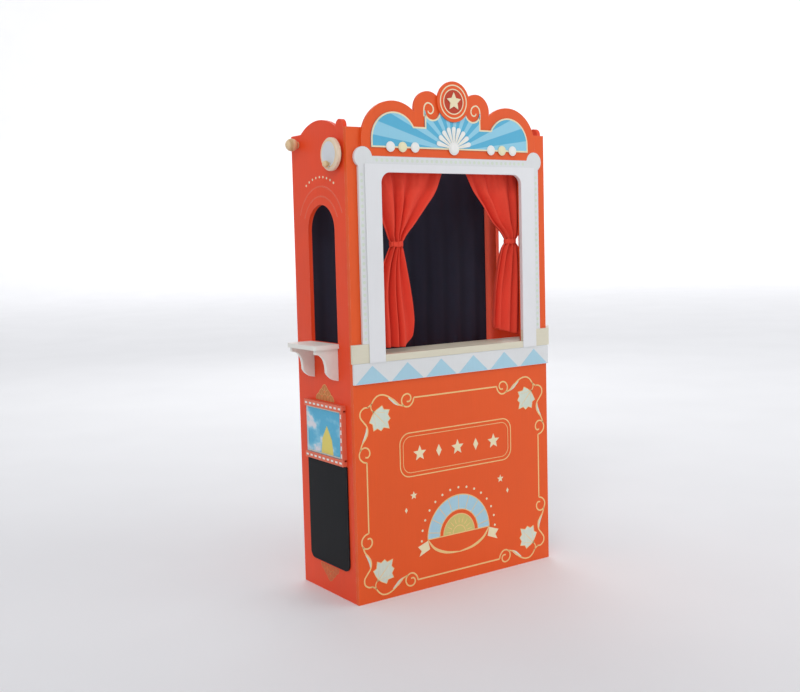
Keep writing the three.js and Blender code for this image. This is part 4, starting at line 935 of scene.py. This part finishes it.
class SideOrnamentOperator(bpy.types.Operator):
    """Paint the arcs over the windows, the small crowns and the picture holder"""
    bl_idname = "theatre.side_ornament"
    bl_label = "Side ornament"

    def execute(self, context):
        for side, sign, crown_foot in (("left", -1, 408), ("right", 1, 433)):
            low, high = box_mm(f"side_panel_{side}")
            face = on_side(low.x if sign < 0 else high.x, sign)
            self.arches(side, face)
            self.crown(f"crown_{side}", face, crown_foot, 1, "dull gold", "dim gold")
            pendant_top = box_mm(f"chalkboard_{side}")[0].z - 4
            self.crown(f"pendant_{side}", face, pendant_top, -1, "faint gold", "dull gold")
        self.wheel()
        self.dashes()
        self.picture()
        return {'FINISHED'}

    def arches(self, side, face):
        """Faint arcs that follow the top of the window, and a row of dots above them."""
        centre = (3, 760)
        faint, dots = Brush(face, trim().under / MM), Brush(face)
        for radius in (70, 90):
            faint.stroke(arc(centre, radius, 22, 158, 40), 3.0)
        faint.finish(f"window_arcs_{side}", "arc red", "red_paint")
        dots.dots(arc(centre, 109, 60, 120, 8), 4.8)
        dots.finish(f"window_dots_{side}", "pale gold", "gold_paint")

    def wheel(self):
        """The pale face of the curtain wheel and the line round it."""
        low, high = box_mm("draw_wheel")
        centre, radius = ((low.y + high.y) / 2, (low.z + high.z) / 2), (high.z - low.z) * 0.40
        face = on_side(low.x, -1)
        disc, edge = Brush(face, 0.1), Brush(face, 0.2)
        disc.patch(ring(centre, radius, 64))
        disc.finish("wheel_face", "wheel face", "white_paint", "wheel_drive")
        edge.stroke(ring(centre, radius, 64), 1.4, closed=True)
        edge.finish("wheel_ring", "gold", "gold_paint", "wheel_drive")

    def crown(self, name, face, foot, up, fill, edging):
        """Three rows of scales that narrow to one point, each row painted over the one beyond."""
        across, half, reach, step = 8, 12, 14, 10
        coat, over, line = 0.1, 0.09, 0.08
        shape = [(-half, 0), (-half, reach * 0.3), (-half * 0.72, reach * 0.68), (0, reach),
                 (half * 0.72, reach * 0.68), (half, reach * 0.3), (half, 0)]
        scales, lines = Brush(face, coat), Brush(face)
        for row, count in enumerate((1, 2, 3)):
            lines.base, lines.lift = scales.lift, scales.lift + line
            for k in range(count):
                x, z = across + (2 * k - count + 1) * half, foot + up * step * (2 - row)
                edge = [(x + p[0], z + up * p[1]) for p in curve_through(shape, 4)]
                scales.patch(edge)
                lines.stroke(edge, 1.1)
                rib = [(x, z + up * reach * share) for share in (0, 0.35, 0.62)]
                lines.stroke(rib, [2.2, 1.5, 0.5])
            scales.lift += over
        scales.finish(f"{name}_scales", fill, "gold_paint")
        lines.finish(f"{name}_lines", edging, "gold_paint")

    def dashes(self):
        """Dashes along the rails of the picture holder and up its stop."""
        for piece, names, count, half_wide, half_high in (
                ("rail_dashes", ("picture_rail_lower", "picture_rail_upper"), 9, 4.5, 2),
                ("stop_dashes", ("picture_stop",), 6, 1.8, 4.5)):
            brush = Brush(on_side(box_mm(names[0])[0].x, -1))
            for name in names:
                low, high = box_mm(name)
                centre, size = (low + high) / 2, high - low
                along = Vector((size.y, 0.0)) if size.y > size.z else Vector((0.0, size.z))
                for i in range(count):
                    place = Vector((centre.y, centre.z)) + along * ((i + 0.5) / count - 0.5)
                    brush.patch(rectangle(place, half_wide, half_high))
            brush.finish(piece, "counter cream", "white_paint")

    def picture(self):
        """A tent and an outline on the picture, in the part of it that the rails leave in sight."""
        low, high = box_mm("picture_board")
        top, foot = box_mm("picture_rail_upper")[0].z, box_mm("picture_rail_lower")[1].z
        face = on_side(low.x, -1)
        tent = Brush(face)
        tent_y = (low.y + high.y) / 2 - 12
        tent.patch([(tent_y + y, foot + z) for y, z in ((-24, 3.4), (24, 3.4), (19, 34), (0, 62), (-19, 34))])
        tent.finish("picture_tent", "yellow", "gold_paint", "picture")
        edge = Brush(face)
        centre = ((low.y + high.y) / 2, (top + foot) / 2)
        edge.stroke(rectangle(centre, (high.y - low.y) / 2 - 4, (top - foot) / 2 - 2), 2.4, closed=True)
        edge.finish("picture_outline", "leaf", "cream_paint", "picture")


# Cloth, where every length is in metres

def widest_row(place, columns, rows):
    """Length of the longest row of a sheet along its folds: the width that the cloth was cut to."""
    longest = 0.0
    for j in range(rows + 1):
        row = [Vector(place(i / columns, j / rows)) for i in range(columns + 1)]
        longest = max(longest, sum((b - a).length for a, b in zip(row, row[1:])))
    return longest


def round_rod(rod, radius, x, fold, turn):
    """A point of the pocket, which runs once round the rod and meets the cloth's own fold at both ends."""
    return (x, rod.y + fold * (1 - abs(math.sin(turn / 2))) - radius * math.sin(turn),
            rod.z - radius * math.cos(turn))


def lay_cloth(name, columns, rows, place, finish, flat):
    """A sheet of cloth from place(u, v), with its flat size as its coordinates."""
    bm = bmesh.new()
    grid = [[bm.verts.new(place(i / columns, j / rows)) for i in range(columns + 1)] for j in range(rows + 1)]
    for j in range(rows):
        for i in range(columns):
            bm.faces.new((grid[j][i], grid[j][i + 1], grid[j + 1][i + 1], grid[j + 1][i]))
    obj = new_piece(name, bm, MATERIALS[finish])
    smooth(obj.data)
    layer = obj.data.uv_layers.new(name="cloth")
    for loop in obj.data.loops:
        j, i = divmod(loop.vertex_index, columns + 1)
        layer.data[loop.index].uv = (flat[0] * i / columns, flat[1] * j / rows)
    solid = obj.modifiers.new("Thickness", 'SOLIDIFY')
    solid.thickness, solid.offset = cloth().thickness, 0.0
    return obj


def mark_fold_shade(obj, columns, rows):
    """Stores how far each point lies behind its neighbours in its row, for darker fold depths."""
    reach, full = 8, 4 * MM
    depth = [v.co.y for v in obj.data.vertices]
    across = columns + 1
    values = []
    for j in range(rows + 1):
        row = depth[j * across:(j + 1) * across]
        for i, own in enumerate(row):
            near = row[max(0, i - reach):i + reach + 1]
            values.append(max(0.0, min(1.0, (own - sum(near) / len(near)) / full)))
    attribute = obj.data.attributes.new("fold_shade", 'FLOAT', 'POINT')
    attribute.data.foreach_set('value', values)


def declare_sheet(nodes):
    """Says what a sheet is made of, which solids it stands for, what size it was cut to and how it hangs."""
    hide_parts(*nodes)


# How the drawn curtains narrow to their waist: share of the drop, then the inner and the outer edge of the
# left and of the right curtain as shares of their reach from the middle of the stage
WAIST = 0.578
PINCH = 0.2  # share of the waist's width that the tie pulls in
CURTAIN_EDGES = [
    (0.000, 0.404, 0.822, 0.530, 0.876), (0.035, 0.399, 0.826, 0.526, 0.881),
    (0.100, 0.396, 0.826, 0.526, 0.885), (0.300, 0.430, 0.809, 0.544, 0.885),
    (0.460, 0.475, 0.731, 0.595, 0.870), (0.530, 0.492, 0.672, 0.634, 0.848),
    (0.578, 0.490, 0.639, 0.676, 0.820), (0.625, 0.464, 0.664, 0.640, 0.850),
    (0.695, 0.366, 0.714, 0.512, 0.897), (0.790, 0.238, 0.796, 0.404, 0.932),
    (0.870, 0.134, 0.885, 0.306, 0.965), (0.960, 0.066, 0.970, 0.232, 0.996),
    (1.000, 0.040, 1.000, 0.196, 1.000),
]

# The foot of each curtain: how far its outer and inner ends hang above its lowest point, and the width, as a
# share of the foot, and the height of its rounded inner corner
CURTAIN_FEET = {"left": (4 * MM, 0.0, 0.32, 30 * MM), "right": (2 * MM, 24 * MM, 0.10, 7 * MM)}


def edge_at(share, side):
    """Smooth inner and outer edge of that side's curtain at that share of the drop."""
    rows = CURTAIN_EDGES
    first = 1 if side == "left" else 3
    k = max(i for i in range(len(rows) - 1) if rows[i][0] <= share + 1e-9)
    before, low, high, after = rows[max(k - 1, 0)], rows[k], rows[k + 1], rows[min(k + 2, len(rows) - 1)]
    span = high[0] - low[0]
    t = (share - low[0]) / span
    edges = []
    for c in (first, first + 1):
        rise = (high[c] - before[c]) / (high[0] - before[0]) * span
        fall = (after[c] - low[c]) / (after[0] - low[0]) * span
        edges.append((2 * t ** 3 - 3 * t * t + 1) * low[c] + (t ** 3 - 2 * t * t + t) * rise
                     + (3 * t * t - 2 * t ** 3) * high[c] + (t ** 3 - t * t) * fall)
    return edges


class CurtainsOperator(bpy.types.Operator):
    """Hang the two red curtains, gathered on their rod and tied at the waist"""
    bl_idname = "theatre.curtains"
    bl_label = "Stage curtains"

    pocket = 7.3 * MM                                # radius of the pocket round the rod
    cloth_rows, pocket_rows, columns = 96, 14, 128
    seeds = {"left": 11, "right": 23}

    def execute(self, context):
        for side, sign in (("left", -1), ("right", 1)):
            self.curtain(side, sign)
            self.tie(side)
        return {'FINISHED'}

    def folds(self, side):
        """How deep the cloth lies at a share of its width and drop, towards the audience below nought."""
        generator = random.Random(self.seeds[side])
        phases = [generator.uniform(0, math.tau) for _ in range(8)]
        roundness, ridge_middle, ridge_half = 0.7, 1.08, 0.235

        def turn_at(u, v):
            """How many folds lie between the outer edge and that point."""
            uneven = 0.05 * math.sin(math.tau * u + phases[0])
            uneven += 0.025 * math.sin(2.3 * math.tau * u + phases[1] + 2 * v)
            return cloth_folds * (u + uneven) + 0.16 * math.sin(3.4 * v + phases[2])

        cloth_folds, deep = cloth().folds, cloth().fold_depth
        edge_turn = turn_at(1.0, 0.3)
        to_ridge = round(edge_turn) - edge_turn

        def depth(u, v):
            at_rod = max(0.0, (v - 0.84) / 0.16)
            at_waist = math.exp(-((v - WAIST) / 0.06) ** 2)
            wave = math.sqrt(math.cos(math.pi * (turn_at(u, v) + to_ridge)) ** 2 + roundness)
            swell = 1 + 0.22 * math.sin(math.tau * 1.3 * u + phases[3] + 2.2 * v)
            broad = deep * swell * (wave - ridge_middle) / ridge_half
            broad *= (1 - 0.7 * at_rod ** 0.7) * (0.92 + 0.08 * min(1.0, v / WAIST))
            broad *= 1 - at_waist * (0.05 + 0.8 * (2 * u - 1) ** 4)
            gathers = at_rod * math.sin(math.tau * 11 * u + phases[4] + 0.7 * math.sin(math.tau * 3 * u))
            creases = 1.6 * at_waist ** 0.5 * math.sin(math.tau * 8 * u + phases[5])
            ripple = 0.5 * math.sin(math.tau * 2.7 * u + 9 * v + phases[6]) * math.sin(7 * v + phases[7])
            return (gathers + creases + ripple) * MM - broad

        return depth, phases[5]

    def curtain(self, side, sign):
        """One curtain: the hanging cloth, its rounded or lifted foot, and the pocket round the rod."""
        low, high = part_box(f"curtain_{side}")
        rod, pocket = middle("curtain_rod"), self.pocket
        reach = max(abs(low.x), abs(high.x))
        drop = rod.z - pocket - low.z
        rows, columns, cloth_rows = self.cloth_rows + self.pocket_rows, self.columns, self.cloth_rows
        fold, pucker = self.folds(side)
        outer_lift, inner_lift, corner_wide, corner_high = CURTAIN_FEET[side]

        def hanging(u, share):
            inner, outer = edge_at(share, side)
            hem = (outer_lift + (inner_lift - outer_lift) * u) * (1 - share) ** 4
            into_corner = min(1.0, max(0.0, (u - 1 + corner_wide) / corner_wide))
            corner = corner_high * (1 - math.sqrt(1 - into_corner ** 2)) * max(0.0, 1 - share / 0.3)
            pinch = 1 - PINCH * math.exp(-((share - WAIST) / 0.018) ** 2)
            return (sign * reach * ((outer + inner) / 2 + (inner - outer) * (u - 0.5) * pinch),
                    rod.y + fold(u, share) * pinch, low.z + share * drop + hem + corner)

        def place(u, v):
            if v * rows <= cloth_rows:
                return hanging(u, v * rows / cloth_rows)
            inner, outer = edge_at(1.0, side)
            radius = pocket + 0.35 * MM * math.sin(math.tau * 11 * u + pucker)
            turn = (v * rows - cloth_rows) / self.pocket_rows * math.tau
            return round_rod(rod, radius, sign * reach * (outer + (inner - outer) * u), fold(u, 1.0), turn)

        flat = (widest_row(place, columns, rows), drop + math.tau * pocket)
        obj = lay_cloth(f"curtain_cloth_{side}", columns, rows, place, "red cloth", flat)
        mark_fold_shade(obj, columns, rows)
        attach(obj, f"{side}_curtain")
        declare_sheet([f"curtain_{side}"])

    def tie(self, side):
        """A narrow band of the same cloth, pulled tight round the waist."""
        low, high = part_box(f"curtain_tie_{side}")
        curtain_low, curtain_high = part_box(f"curtain_{side}")
        reach = max(abs(curtain_low.x), abs(curtain_high.x))
        inner, outer = edge_at(WAIST, side)
        centre = middle(f"curtain_tie_{side}")
        clear, within, margin = 1.1 * MM, 4.0 * MM, 1.2 * MM
        half_x = reach * (outer - inner) / 2 * (1 - PINCH) + clear
        half_y = (high.y - low.y) / 2 - within
        foot, width = low.z + margin, high.z - low.z - 2 * margin
        columns, rows = 96, 10

        def place(u, v):
            turn = math.tau * u
            ripple = 0.35 * MM * math.sin(17 * turn) + 0.3 * MM * math.sin(9 * turn + 1.0)
            barrel = 0.3 * MM * math.sin(math.pi * v) + ripple
            wide, deep = (math.copysign(abs(f(turn)) ** 0.75, f(turn)) for f in (math.cos, math.sin))
            return (centre.x + (half_x + barrel) * wide, centre.y + (half_y + barrel) * deep,
                    foot + width * v + 0.5 * MM * math.sin(5 * turn))

        flat = (widest_row(place, columns, rows), width)
        obj = lay_cloth(f"curtain_band_{side}", columns, rows, place, "red cloth", flat)
        bm = bmesh.new()
        bm.from_mesh(obj.data)
        bmesh.ops.remove_doubles(bm, verts=bm.verts, dist=1e-6)
        bm.to_mesh(obj.data)
        bm.free()
        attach(obj, f"{side}_curtain")
        declare_sheet([f"curtain_tie_{side}"])


class BackClothOperator(bpy.types.Operator):
    """Hang the black cloth at the back of the stage from its rod"""
    bl_idname = "theatre.back_cloth"
    bl_label = "Back cloth"

    pocket, side_gap = 7.2 * MM, 2 * MM              # radius of the pocket round the rod, gap at each side
    cloth_rows, pocket_rows, columns, seed = 70, 12, 150, 5
    shallow, deeper = 0.9 * MM, 2.6 * MM             # pleats at the header, and what they gain below it
    bend_above, bend_below = 6 * MM, 10 * MM         # where it bends as it swings, about the header's foot

    def execute(self, context):
        low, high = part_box("back_cloth")
        header_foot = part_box("back_cloth_heading")[0].z
        rod, pocket = middle("back_rod"), self.pocket
        half = high.x - self.side_gap
        drop = rod.z - pocket - low.z
        free = (rod.z - pocket - header_foot) / drop
        pleats = cloth().back_pleats
        generator = random.Random(self.seed)
        phases = [generator.uniform(0, math.tau) for _ in range(5)]
        cloth_rows, columns = self.cloth_rows, self.columns
        rows = cloth_rows + self.pocket_rows

        def fold(u, v):
            below = max(0.0, 1.0 - free - v) / (1.0 - free)
            deep = self.shallow + self.deeper * min(1.0, below * 1.6) ** 0.8
            bend = 0.5 * math.sin(3 * v + phases[0])
            return deep * (0.75 * math.sin(math.tau * pleats * u + bend + phases[1])
                           + 0.4 * math.sin(math.tau * pleats * 0.37 * u + phases[2] + v))

        def place(u, v):
            x = half * (2 * u - 1)
            if v * rows <= cloth_rows:
                share = v * rows / cloth_rows
                wavy = 1.5 * MM * math.sin(math.tau * pleats * u + phases[3]) * max(0.0, 1 - share * 8)
                return (x, rod.y + fold(u, share), low.z + share * drop + wavy)
            turn = (v * rows - cloth_rows) / self.pocket_rows * math.tau
            return round_rod(rod, pocket, x, fold(u, 1.0), turn)

        flat = (widest_row(place, columns, rows), drop + math.tau * pocket)
        obj = lay_cloth("back_cloth_sheet", columns, rows, place, "black cloth", flat)
        mark_fold_shade(obj, columns, rows)
        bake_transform(obj)
        declare_sheet(["back_cloth", "back_cloth_heading"])
        return {'FINISHED'}


class TheatrePanel(bpy.types.Panel):
    """Buttons and values of the puppet theatre"""
    bl_idname = "VIEW3D_PT_theatre"
    bl_label = "Puppet Theatre"
    bl_space_type = 'VIEW_3D'
    bl_region_type = 'UI'
    bl_category = "Theatre"

    def draw(self, context):
        for name, kind in GROUPS.items():
            column = self.layout.column(heading=kind.__doc__)
            values = getattr(context.scene, name)
            for key in kind.__annotations__:
                column.prop(values, key)
        for operator in OPERATORS:
            self.layout.operator(operator.bl_idname)


OPERATORS = (StudioOperator, BoardsOperator, CrestOperator, FrameOrnamentOperator, LowerOrnamentOperator,
             SideOrnamentOperator, CurtainsOperator, BackClothOperator)


def register():
    for kind in (*GROUPS.values(), *OPERATORS, TheatrePanel):
        bpy.utils.register_class(kind)
    for name, kind in GROUPS.items():
        setattr(bpy.types.Scene, name, PointerProperty(type=kind))


def unregister():
    for name in GROUPS:
        delattr(bpy.types.Scene, name)
    for kind in reversed((*GROUPS.values(), *OPERATORS, TheatrePanel)):
        bpy.utils.unregister_class(kind)


def main():
    register()
    for operator in OPERATORS:
        group, name = operator.bl_idname.split(".")
        getattr(getattr(bpy.ops, group), name)()


if __name__ == "__main__":
    main()
